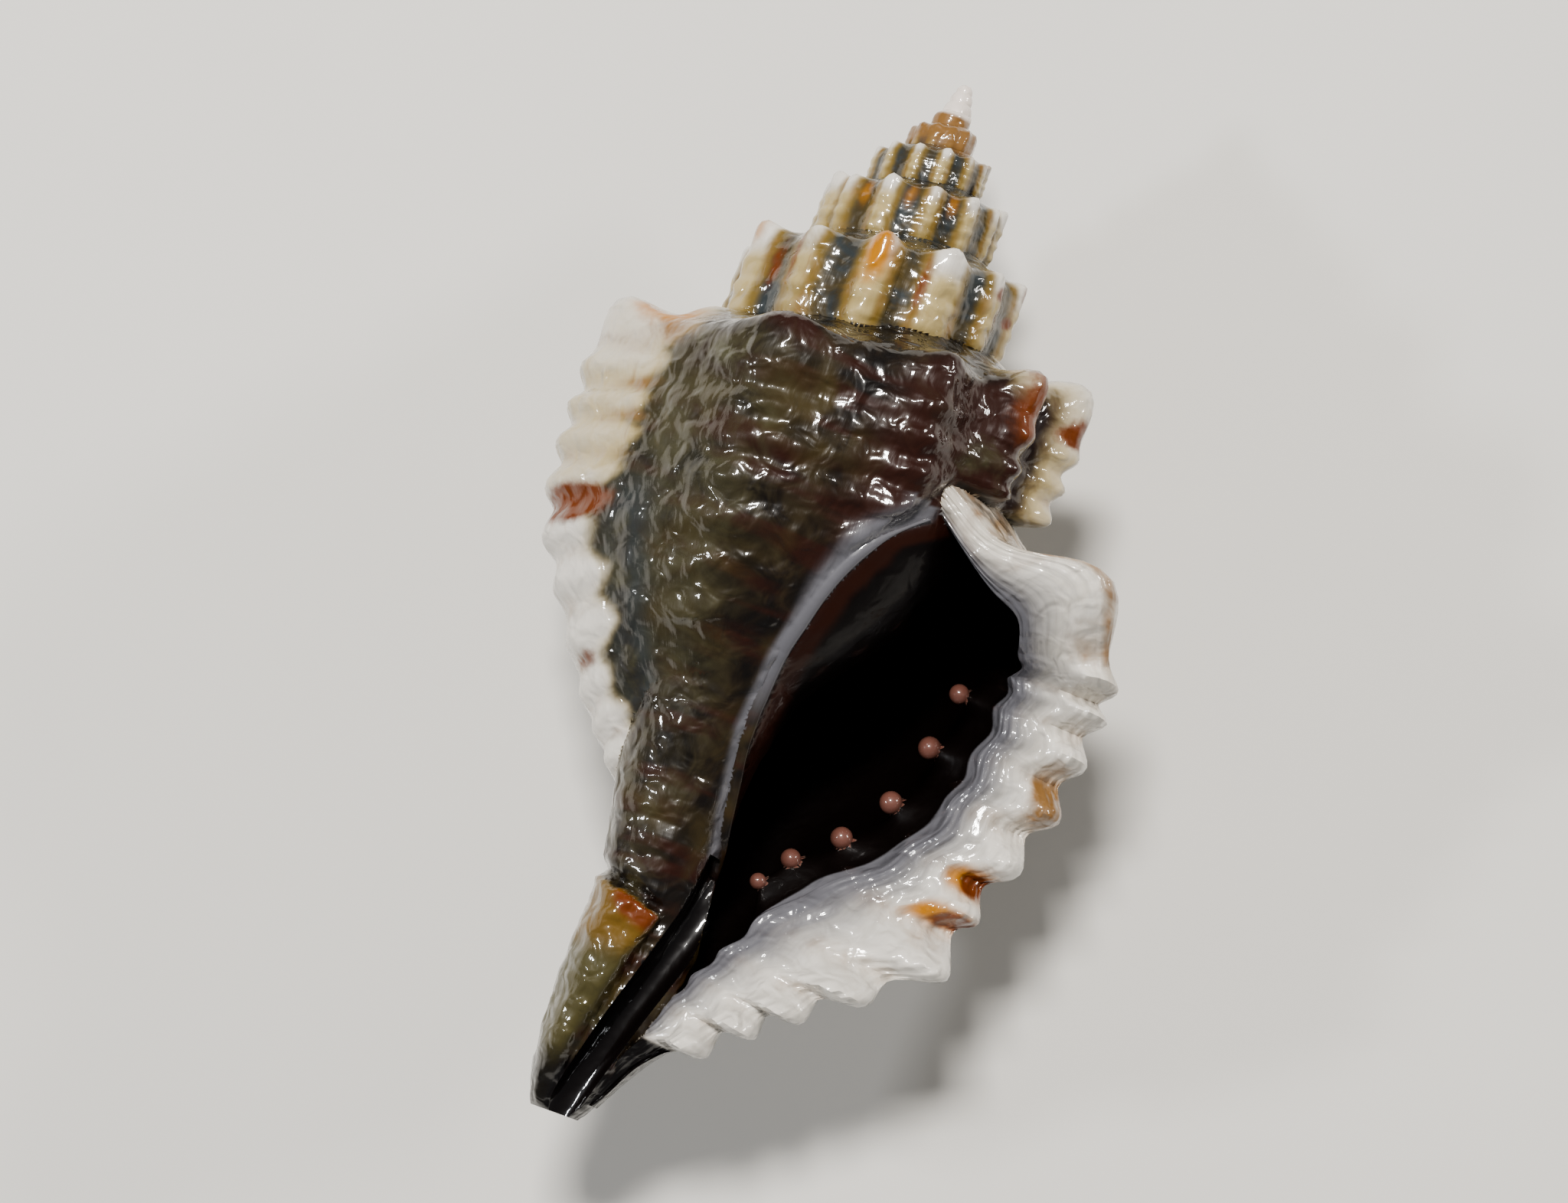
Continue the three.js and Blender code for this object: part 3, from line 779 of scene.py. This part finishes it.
class Points:
    """What is known of every point of the joined shell, one array each."""

    def __init__(self, mesh, coil):
        self.right, self.front, self.along = from_world(read_points(mesh)).T
        self.phase, self.station = read_attribute(mesh, "phase"), read_attribute(mesh, "station")
        self.depth = read_attribute(mesh, "depth")
        source = np.rint(read_attribute(mesh, "source"))
        self.whorl, self.wall, self.neck, self.tooth, self.callus, self.canal = (
            source == number for number in SOURCE.values())
        self.coiled = self.whorl | self.wall
        self.spire = self.whorl & (self.phase <= LAST_WHORL_START)
        self.last = self.phase > LAST_RAMP_START
        self.lip = self.coiled * ease(self.phase, -0.17, -0.09)
        self.cord = coil.cord_mask(self.station)
        rib = coil.rib_mask(self.phase)
        self.rib = np.where(self.phase > LAST_WHORL_START, rib, rib / coil.rib_tall)
        self.covered = 1 - coil.open_mask(self.phase, self.station)


def pale_marks(at):
    """The pale crests: spire ribs, varices and lip, and where they are whitest."""
    crest = ease(at.rib, 0.25, 1.05) * ease(at.station, 11.5, 12.4)
    pale_spire = crest * (0.7 + 0.3 * at.cord) * (1 - 0.3 * ease(at.station, 14.5, 16.3))
    ragged = 0.025 * at.cord + 0.03 * lattice_noise(at.station / 1.6, 0 * at.station, 41)
    inner_edge = -1.22 - ragged + 0.055 * ease(at.station, 16.5, 18.5)
    varix = ease(at.phase, inner_edge, inner_edge + 0.09) * (1 - ease(at.phase, -0.95, -0.88)) * 1.2
    # Between the cords on the varix's front face it is less pale: brown stain, and painted shade in the pits
    # there.
    front_pits_stain_and_shade = (1 - at.cord) * (1 - ease(at.phase, -1.12, -1.03))
    varix = varix * ease(at.station, 10.7, 11.2) * (1 - 0.3 * front_pits_stain_and_shade)
    right_rib = hump(at.phase, -1.94, 0.05) * 1.2
    brown_rib = hump(at.phase, -1.78, 0.04) * hump(at.station, 12.2, 0.7) * 1.1
    back_ribs = np.maximum(hump(at.phase, -0.66, 0.062), hump(at.phase, -0.32, 0.062))
    back_ribs = back_ribs * (0.85 + 0.3 * at.cord)
    pale_body = np.maximum.reduce([varix, right_rib, brown_rib, back_ribs, at.lip * 1.1])
    pale = np.where(at.spire, pale_spire, np.where(at.whorl, pale_body, 0))
    pale = np.where(at.wall, 1.1, pale) * ~(at.neck | at.canal | at.callus)
    ends = np.maximum(0.5 - 0.5 * ease(at.station, 13, 14.5), ease(at.station, 17.5, 19))
    bright_body = np.maximum(0.85 * at.lip, pale_body * (0.35 + 0.5 * ends))
    return {
        "pale": pale,
        "bright": np.where(at.spire, crest * hump(at.station, 12.7, 0.9), bright_body),
        "ochre": at.spire * ease(at.rib, 0.0, 0.65) * ease(at.station, 11.5, 12.4),
    }


def glaze_marks(at):
    """The dark mouth, the grey rim and ridge round it, with a painted highlight along the glaze edge, the
    wine band and the black canal.
    """
    beside = at.right - look_up(CALLUS_LINE, at.along)
    facing = (at.front > -2.5) & (at.along > 12.0)
    column = facing * (at.neck | (at.whorl & (at.phase < -1.4)))
    under_glaze = at.whorl * at.covered * (at.phase > -3.2) * ease(beside, 0.2, 0.45)
    past_line = ease(beside, 0.2, 0.45) * facing * (at.neck | (at.whorl & (at.phase < -1.5)))
    in_wall = at.wall * ease(-at.phase * math.pi * WHORL_RADIUS, 0.1, 0.7)
    mouth = np.maximum.reduce([past_line * ease(at.along, 12.6, 13.6), in_wall, under_glaze])
    # Grey-lavender just left of the glaze edge: the lavender rim near the top, and a painted highlight of the
    # glossy edge where the band narrows lower down.
    band = 0.2 + 0.45 * (1 - ease(at.along, 12.5, 16.5))
    column_grey_and_highlight = 0.9 * hump(beside, -0.1, band) * column * (at.along < 24)
    grey_ridge = at.callus * (1 - 0.85 * ease(at.along, 16.5, 19.5))
    spout = at.coiled * (at.phase > -0.7) * ease(at.station, 26.9, 27.5)
    tube_end = at.neck * ease(at.along, 28.0, 29.2) * ease(at.right + 1.3, -0.3, 0.2)
    return {
        "mouth": mouth,
        "lavender": np.maximum.reduce([at.lip * ease(at.depth, 0.25, 0.95), column_grey_and_highlight, grey_ridge]),
        "wine": hump(beside, 0.45, 0.4) * column * (at.along < 23),
        "canal": np.maximum.reduce([at.canal * 1.0, tube_end, spout]),
        "smooth": np.maximum(mouth, (at.callus | at.canal | at.tooth) * 1.0),
    }


def ground_marks(at):
    """The dark ground of the last whorl and the column, patch by patch, and painted shade in the hollow
    beside the left varix.
    """
    body = at.coiled * ease(at.phase, LAST_RAMP_START, -1.99)
    upper_band = at.whorl * at.last * (1 - ease(at.station, 11.5, 13.2))
    left_side = at.whorl * ease(at.phase, -1.52, -1.3) * ease(at.station, 12.2, 13.5)
    right_side = at.whorl * at.last * (1 - ease(at.phase, -1.62, -1.48))
    return {
        "body": np.maximum(body, (at.neck | at.callus) * 1.0),
        "ramp": np.maximum(upper_band, at.neck * 0.8 * ease(at.along, 27.4, 29.2)),
        "lichen": at.whorl * np.maximum.reduce([
            0.8 * hump(at.phase, -1.28, 0.12) * hump(at.along, 10.1, 0.9),
            0.6 * hump(at.phase, -1.72, 0.05) * hump(at.station, 15.2, 1.2),
            0.55 * hump(at.phase, -1.18, 0.05) * ease(at.station, 17, 20)]),
        "green": np.maximum(left_side * 0.5, at.neck * ease(0.1 - at.right, 0, 1.2) * 0.3),
        # Slate grey beside the foot of the left varix: painted shade of the hollow strip there.
        "slate_and_hollow_shade": 0.8 * at.whorl * hump(at.phase, -1.19, 0.06) * ease(at.station, 16.5, 19.5),
        "warm": right_side * ease(at.station, 11.8, 13),
        "moss": at.neck * at.depth,
    }


def pigment_marks(at, pale):
    """Rust, orange and tan stains, tan that is partly painted shade in the pits between the cords, the old
    canal end, the teeth and the first whorls.
    """
    rust = at.whorl * spots(at.phase, at.station, RUST_SPOTS)
    orange = at.whorl * spots(at.phase, at.station, ORANGE_SPOTS)
    for place, tall, strength in LIP_SPOTS:
        spot = hump(at.station, place, tall) * (1 - ease(at.depth, 0.28, 0.42)) * ease(at.phase, -0.05, -0.02)
        halo = hump(at.station, place, 1.35 * tall) * (1 - ease(at.depth, 0.4, 0.6))
        rust = np.maximum(rust, at.whorl * strength * spot)
        orange = np.maximum(orange, 0.85 * at.whorl * halo * ease(at.phase, -0.08, -0.02))
    flank = at.spire * hump(at.rib, 0.55, 0.3) * ease(at.station, 11.6, 12.4) * 0.4
    edge = at.whorl * at.lip
    upper_edge = 0.55 * edge * (1 - ease(at.station, 13, 17)) * (1 - ease(at.depth, 0.1, 0.3))
    erosion = 0.9 * edge * hump(at.station, 17.6, 0.9) * (1 - ease(at.depth, 0.3, 0.5))
    # Tan between the cords on the varix's front face: brown stain and painted shade in the pits.
    varix_pits_stain_and_shade = at.whorl * hump(at.phase, -1.14, 0.06) * hump(at.station, 15.3, 2.2) * (1 - at.cord)
    varix_top = at.whorl * hump(at.phase, -1.17, 0.06) * hump(at.station, 12.5, 0.9)
    old_end = at.neck * at.depth
    start = OLD_CANAL_START + 0.5 * ease(at.right, -2.2, 0)
    return {
        "rust": rust,
        "orange": orange,
        # The tan between the cords of all pale shell is partly stain and partly painted shade in the troughs.
        "stain_and_pit_shade": np.maximum.reduce([
            flank, upper_edge, erosion, 0.35 * pale * (1 - at.cord), 0.8 * varix_pits_stain_and_shade, 0.75 * varix_top]),
        "amber": old_end * (1 - ease(at.along, 24.6, 26.4)),
        "ember": old_end * hump(at.along, start + 0.3, 0.45) * ease(at.right, -2.0, -1.0),
        "tooth": at.tooth * 1.0,
        "tip": at.whorl * (1 - ease(at.along, 0.75, 1.3)),
        "young": at.whorl * (1 - ease(at.along, 1.7, 2.6)) * 0.85,
    }


def paint_marks(shell, coil):
    """Writes one soft mask for each kind of marking; the material turns them into colour."""
    at = Points(shell.data, coil)
    marks = {**pale_marks(at), **glaze_marks(at), **ground_marks(at)}
    marks.update(pigment_marks(at, marks["pale"]))
    for name, values in marks.items():
        write_attribute(shell.data, name, np.clip(values, 0, STRONGEST_MARK))


# ---- Material -------------------------------------------------------------------------------
def add_node(tree, kind, settings=None, links=None):
    """A node with its settings, by property or socket name, and its incoming links."""
    node = tree.nodes.new(kind)
    for key, value in (settings or {}).items():
        if isinstance(key, str) and hasattr(node, key):
            setattr(node, key, value)
        else:
            node.inputs[key].default_value = value
    for key, socket in (links or {}).items():
        tree.links.new(socket, node.inputs[key])
    return node


def mask(tree, name):
    return add_node(tree, "ShaderNodeAttribute", {"attribute_name": name}).outputs["Fac"]


def broken_edge(tree, value, noise, amount, soft):
    """Turns a soft mask into a patch with a ragged edge."""
    shift = add_node(tree, "ShaderNodeMath", {"operation": "MULTIPLY_ADD", 1: amount}, {0: noise, 2: value})
    edge = 0.5 + amount / 2
    return ramp(tree, shift.outputs[0], edge - soft, edge + soft)


def blend(tree, fac, under, over):
    """Mixes two colours; either may be a fixed colour."""
    node = add_node(tree, "ShaderNodeMix", {"data_type": "RGBA"}, {"Factor": fac})
    for socket, value in ((node.inputs[6], under), (node.inputs[7], over)):
        if isinstance(value, bpy.types.NodeSocket):
            tree.links.new(value, socket)
        else:
            socket.default_value = (*value, 1)
    return node.outputs[2]


def lay_over(tree, under, layers):
    """Lays masked colours over another: mask, colour, noise, how ragged and how soft the edge is."""
    for name, over, noise, amount, soft in layers:
        under = blend(tree, broken_edge(tree, mask(tree, name), noise, amount, soft), under, over)
    return under


def ramp(tree, fac, low, high):
    """0 below the low value and 1 above the high one, with soft ends."""
    return add_node(tree, "ShaderNodeMapRange", {
        "interpolation_type": "SMOOTHSTEP", "From Min": low, "From Max": high}, {"Value": fac}).outputs[0]


def noise_at(tree, vector, millimetres, detail=4.0, roughness=0.6, distortion=0.0, stretch=(1, 1, 1)):
    """Noise whose lumps measure so many millimetres; vector is in millimetres."""
    sized = add_node(tree, "ShaderNodeVectorMath", {
        "operation": "MULTIPLY", 1: tuple(s / millimetres for s in stretch)}, {0: vector})
    return add_node(tree, "ShaderNodeTexNoise", {
        "Scale": 1.0, "Detail": detail, "Roughness": roughness, "Distortion": distortion},
        {"Vector": sized.outputs[0]}).outputs["Fac"]


def wet_shell_aragonite(colours):
    """Wet mollusc shell: layered aragonite with pigment bands, filmed with water.

    The water gives it hard small glints over deep colour, and the growth layers break
    every glint into flecks across the ribs.
    """
    material = bpy.data.materials.new("Wet shell aragonite")
    material.use_nodes = True
    tree = material.node_tree
    tree.nodes.clear()
    here = add_node(tree, "ShaderNodeTexCoord").outputs["Object"]
    scaled = add_node(tree, "ShaderNodeVectorMath", {"operation": "SCALE", "Scale": 1 / MM}, {0: here})
    millimetres = scaled.outputs[0]
    coil = add_node(tree, "ShaderNodeUVMap", {"uv_map": "Coil"}).outputs[0]

    fine = noise_at(tree, millimetres, 0.35)
    patch = noise_at(tree, millimetres, 1.1, detail=3, distortion=0.8)
    broad = noise_at(tree, millimetres, 2.8, detail=2, distortion=0.4)
    growth = noise_at(tree, coil, 1.0, detail=4, roughness=0.55, stretch=(3.5, 0.5, 1))
    bands = noise_at(tree, coil, 1.0, detail=2, roughness=0.45, stretch=(0.22, 1.5, 1))

    spire_ground = blend(tree, ramp(tree, patch, 0.35, 0.65), colours.slate_and_hollow_shade, colours.olive)
    spire_ground = blend(tree, ramp(tree, broad, 0.5, 0.75), spire_ground, colours.umber)
    spire_ground = lay_over(tree, spire_ground, [("ochre", colours.ochre, patch, 0.7, 0.45)])
    body = blend(tree, ramp(tree, patch, 0.35, 0.7), colours.umber, colours.moss)
    body = blend(tree, ramp(tree, bands, 0.45, 0.62), body, colours.oxblood)
    body = blend(tree, ramp(tree, broad, 0.48, 0.7), body, colours.olive)
    body = blend(tree, ramp(tree, growth, 0.62, 0.9), body, colours.umber)
    ground = blend(tree, mask(tree, "body"), spire_ground, body)
    ground = lay_over(tree, ground, [
        ("warm", colours.oxblood, broad, 0.8, 0.45), ("green", colours.lichen, patch, 1.3, 0.5),
        # The slate layer here is painted shade of the hollow beside the left varix.
        ("slate_and_hollow_shade", colours.slate_and_hollow_shade, patch, 0.5, 0.45), ("moss", colours.reed, patch, 0.4, 0.4),
    ])
    ground = blend(tree, ramp(tree, mask(tree, "ramp"), 0.2, 0.9), ground, colours.umber)
    lumps = blend(tree, ramp(tree, patch, 0.35, 0.7), colours.moss, colours.lichen)
    ground = lay_over(tree, ground, [("lichen", lumps, patch, 0.6, 0.2)])

    pale = lay_over(tree, colours.cream, [("bright", colours.white, patch, 0.6, 0.45)])
    pale = blend(tree, ramp(tree, growth, 0.62, 0.95), pale, colours.tan)
    whole = lay_over(tree, ground, [
        ("pale", pale, patch, 0.55, 0.34),
        # The next line's second tan layer is stain and painted shade in the pits between the cords.
        ("young", colours.tan, patch, 0.8, 0.35), ("stain_and_pit_shade", colours.tan, patch, 0.9, 0.34),
        ("orange", colours.orange, patch, 0.5, 0.36), ("rust", colours.rust, fine, 0.45, 0.24),
        ("amber", colours.amber, patch, 0.4, 0.4), ("ember", colours.rust, fine, 0.4, 0.3),
        ("lavender", colours.lavender, growth, 0.35, 0.42), ("tip", colours.shine, fine, 0.2, 0.2),
        ("mouth", colours.mouth, fine, 0.12, 0.14), ("tooth", colours.blush, fine, 0.1, 0.2),
        ("wine", colours.oxblood, patch, 0.5, 0.3), ("canal", colours.mouth, fine, 0.2, 0.15),
    ])

    rough = add_node(tree, "ShaderNodeMapRange", {"To Min": 0.3, "To Max": 0.5}, {"Value": fine})
    lines = add_node(tree, "ShaderNodeMath", {"operation": "MULTIPLY", 1: 0.5}, {0: growth})
    flecks = noise_at(tree, millimetres, 0.6, detail=1.5, roughness=0.4, distortion=0.5)
    relief = add_node(tree, "ShaderNodeMath", {"operation": "MULTIPLY_ADD", 1: 4.0},
                      {0: flecks, 2: lines.outputs[0]})
    # The glaze, the teeth and the canal are smoother than the weathered outside.
    calm = add_node(tree, "ShaderNodeMath", {"operation": "SUBTRACT", 0: 1.0, "use_clamp": True},
                    {1: mask(tree, "smooth")})
    strength = add_node(tree, "ShaderNodeMath", {"operation": "MULTIPLY_ADD", 1: 0.55, 2: 0.12},
                        {0: calm.outputs[0]})
    bump = add_node(tree, "ShaderNodeBump", {"Distance": RELIEF_DEPTH * MM},
                    {"Height": relief.outputs[0], "Strength": strength.outputs[0]})
    # The film of water is the coat. It is thin in the deep mouth, which stays dark.
    film = add_node(tree, "ShaderNodeMapRange", {"To Min": 1.0, "To Max": 0.3},
                    {"Value": mask(tree, "mouth")})
    surface = add_node(tree, "ShaderNodeBsdfPrincipled", {
        "IOR": 1.55, "Specular IOR Level": 0.2, "Coat Roughness": 0.06, "Coat IOR": 1.5}, {
        "Base Color": whole, "Coat Weight": film.outputs[0], "Roughness": rough.outputs[0],
        "Normal": bump.outputs[0], "Coat Normal": bump.outputs[0]})
    add_node(tree, "ShaderNodeOutputMaterial", {}, {"Surface": surface.outputs[0]})
    return material


def matt_table_paint():
    """A pale painted table top, faintly mottled, so that it reads as a real surface."""
    material = bpy.data.materials.new("Matt table paint")
    material.use_nodes = True
    tree = material.node_tree
    surface = tree.nodes["Principled BSDF"]
    here = add_node(tree, "ShaderNodeTexCoord").outputs["Object"]
    mottle = add_node(tree, "ShaderNodeTexNoise", {"Scale": 60.0, "Detail": 3.0}, {"Vector": here})
    tone = blend(tree, mottle.outputs["Fac"], linear("#cfccc6"), linear("#d6d3cd"))
    tree.links.new(tone, surface.inputs["Base Color"])
    surface.inputs["Roughness"].default_value = 0.75
    return material


# ---- Operators --------------------------------------------------------------------------------
SHELL_NAME = "Murex_shell"


def the_shell():
    shell = bpy.data.objects.get(SHELL_NAME)
    if shell is None:
        raise RuntimeError("the spire comes first")
    return shell


class SHELL_OT_spire(bpy.types.Operator):
    """Winds the spire from the apex to the start of the last whorl"""
    bl_idname = "shell.spire"
    bl_label = "Spire"

    def execute(self, context):
        coil = Coil(context.scene.shell_sizes)
        shell = axis_core(coil)
        shell.name = SHELL_NAME
        early = [(first, first + 1.25, 0.04, 24) for first in np.arange(FIRST_PHASE, LATE_SPIRE[0][0], 1.25)]
        for first, last, step, fine in early + LATE_SPIRE:
            boolean(shell, whorl_stretch(coil, first, last, step, spire_stations(fine)), "UNION")
        for along, radius in PROTOCONCH:
            boolean(shell, small_ball("Apex", (0, 0, along), radius, "whorl"), "UNION")
        return {"FINISHED"}


class SHELL_OT_last_whorl(bpy.types.Operator):
    """Winds the last whorl and its open half turn with the rounded lip"""
    bl_idname = "shell.last_whorl"
    bl_label = "Last whorl"

    def execute(self, context):
        coil = Coil(context.scene.shell_sizes)
        stations = even_stations(*WHORL_STATIONS, 125)
        boolean(the_shell(), whorl_stretch(coil, -2, HOLLOW_PHASE, 0.0095, stations), "UNION")
        boolean(the_shell(), last_whorl(coil), "UNION")
        return {"FINISHED"}


class SHELL_OT_column(bpy.types.Operator):
    """Adds the column with the old canal end, and opens the canal"""
    bl_idname = "shell.column"
    bl_label = "Column and canal"

    def execute(self, context):
        boolean(the_shell(), neck_body(), "UNION")
        boolean(the_shell(), gutter_body(), "DIFFERENCE")
        return {"FINISHED"}


class SHELL_OT_teeth(bpy.types.Operator):
    """Sets the six teeth on the wall inside the lip"""
    bl_idname = "shell.teeth"
    bl_label = "Teeth"

    def execute(self, context):
        coil = Coil(context.scene.shell_sizes)
        for station, radius in TEETH:
            along, inner = coil.inside(TOOTH_PHASE, np.array(station))
            phase = TOOTH_PHASE + coil.lip_advance(TOOTH_PHASE, station)
            centre = coil.place(phase, along, inner - TOOTH_STAND)
            boolean(the_shell(), small_ball("Tooth", centre, radius, "tooth"), "UNION")
        return {"FINISHED"}


class SHELL_OT_callus(bpy.types.Operator):
    """Lays the raised edge of the glaze along the column"""
    bl_idname = "shell.callus"
    bl_label = "Callus"

    def execute(self, context):
        shell = the_shell()
        boolean(shell, callus_ridge(shell, context.scene.shell_sizes.callus_width / MM), "UNION")
        return {"FINISHED"}


class SHELL_OT_finish(bpy.types.Operator):
    """Cleans the joined shell, writes its markings and gives it its material"""
    bl_idname = "shell.finish"
    bl_label = "Markings and glaze"

    def execute(self, context):
        shell = the_shell()
        keep_largest(shell)
        fill_seams(shell.data)
        soften_joint(shell)
        paint_marks(shell, Coil(context.scene.shell_sizes))
        make_active(shell)
        bpy.ops.object.shade_smooth_by_angle(angle=math.radians(50))
        shell.data.materials.clear()
        shell.data.materials.append(wet_shell_aragonite(context.scene.shell_colours))
        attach(shell, "root")
        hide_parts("shell")
        return {"FINISHED"}


def add_area_light(name, place, target, width, watts, tint):
    deselect_all()
    bpy.ops.object.light_add(type="AREA", location=place)
    light = bpy.context.object
    light.name = name
    light.data.shape = "RECTANGLE"
    light.data.size = width
    light.data.size_y = width * 0.6
    light.data.energy = watts
    light.data.color = tint
    light.rotation_euler = (Vector(target) - Vector(place)).to_track_quat("-Z", "Y").to_euler()


class SHELL_OT_stage(bpy.types.Operator):
    """Adds the pale table, the soft lights and the camera above the shell"""
    bl_idname = "shell.stage"
    bl_label = "Stage"

    def execute(self, context):
        low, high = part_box("shell")
        middle = (low + high) / 2
        deselect_all()
        bpy.ops.mesh.primitive_plane_add(size=4, location=(0, 0, 0))
        floor = context.object
        floor.name = "Table"
        floor.data.materials.append(matt_table_paint())
        for name, place, width, watts, tint in LIGHTS:
            add_area_light(name, place, middle, width, watts, tint)
        context.scene.view_settings.look = "AgX - Medium High Contrast"
        world = bpy.data.worlds.new("Studio")
        context.scene.world = world
        world.use_nodes = True
        sky = world.node_tree.nodes["Background"]
        sky.inputs["Color"].default_value = (*linear(SKY_TINT), 1)
        sky.inputs["Strength"].default_value = SKY_STRENGTH
        aim = Vector(to_world(np.array(CAMERA_AIM)))
        aim.z = middle.z
        turn = Matrix.Rotation(CAMERA_LEAN, 3, "Z") @ Matrix.Rotation(CAMERA_TIP, 3, "X")
        bpy.ops.object.camera_add(location=aim + turn @ Vector((0, 0, CAMERA_HEIGHT)))
        camera = context.object
        camera.name = "Camera"
        camera.rotation_euler = turn.to_euler()
        camera.data.lens = CAMERA_LENS
        camera.data.sensor_width = SENSOR_WIDTH
        camera.data.clip_start = 0.005
        context.scene.camera = camera
        return {"FINISHED"}


OPERATORS = (SHELL_OT_stage, SHELL_OT_spire, SHELL_OT_last_whorl, SHELL_OT_column, SHELL_OT_teeth,
             SHELL_OT_callus, SHELL_OT_finish)


class SHELL_PT_panel(bpy.types.Panel):
    """The shell's sizes, colours and steps, in order"""
    bl_idname = "SHELL_PT_panel"
    bl_label = "Murex shell"
    bl_space_type = "VIEW_3D"
    bl_region_type = "UI"
    bl_category = "Shell"

    def draw(self, context):
        for group in (context.scene.shell_sizes, context.scene.shell_colours):
            box = self.layout.box()
            for key in group.__annotations__:
                box.prop(group, key)
        for operator in OPERATORS:
            self.layout.operator(operator.bl_idname)


CLASSES = (ShellSizes, ShellColours, *OPERATORS, SHELL_PT_panel)


def register():
    for cls in CLASSES:
        bpy.utils.register_class(cls)
    bpy.types.Scene.shell_sizes = bpy.props.PointerProperty(type=ShellSizes)
    bpy.types.Scene.shell_colours = bpy.props.PointerProperty(type=ShellColours)


def unregister():
    del bpy.types.Scene.shell_colours
    del bpy.types.Scene.shell_sizes
    for cls in reversed(CLASSES):
        bpy.utils.unregister_class(cls)


def main():
    register()
    bpy.ops.shell.stage()
    bpy.ops.shell.spire()
    bpy.ops.shell.last_whorl()
    bpy.ops.shell.column()
    bpy.ops.shell.teeth()
    bpy.ops.shell.callus()
    bpy.ops.shell.finish()


if __name__ == "__main__":
    main()
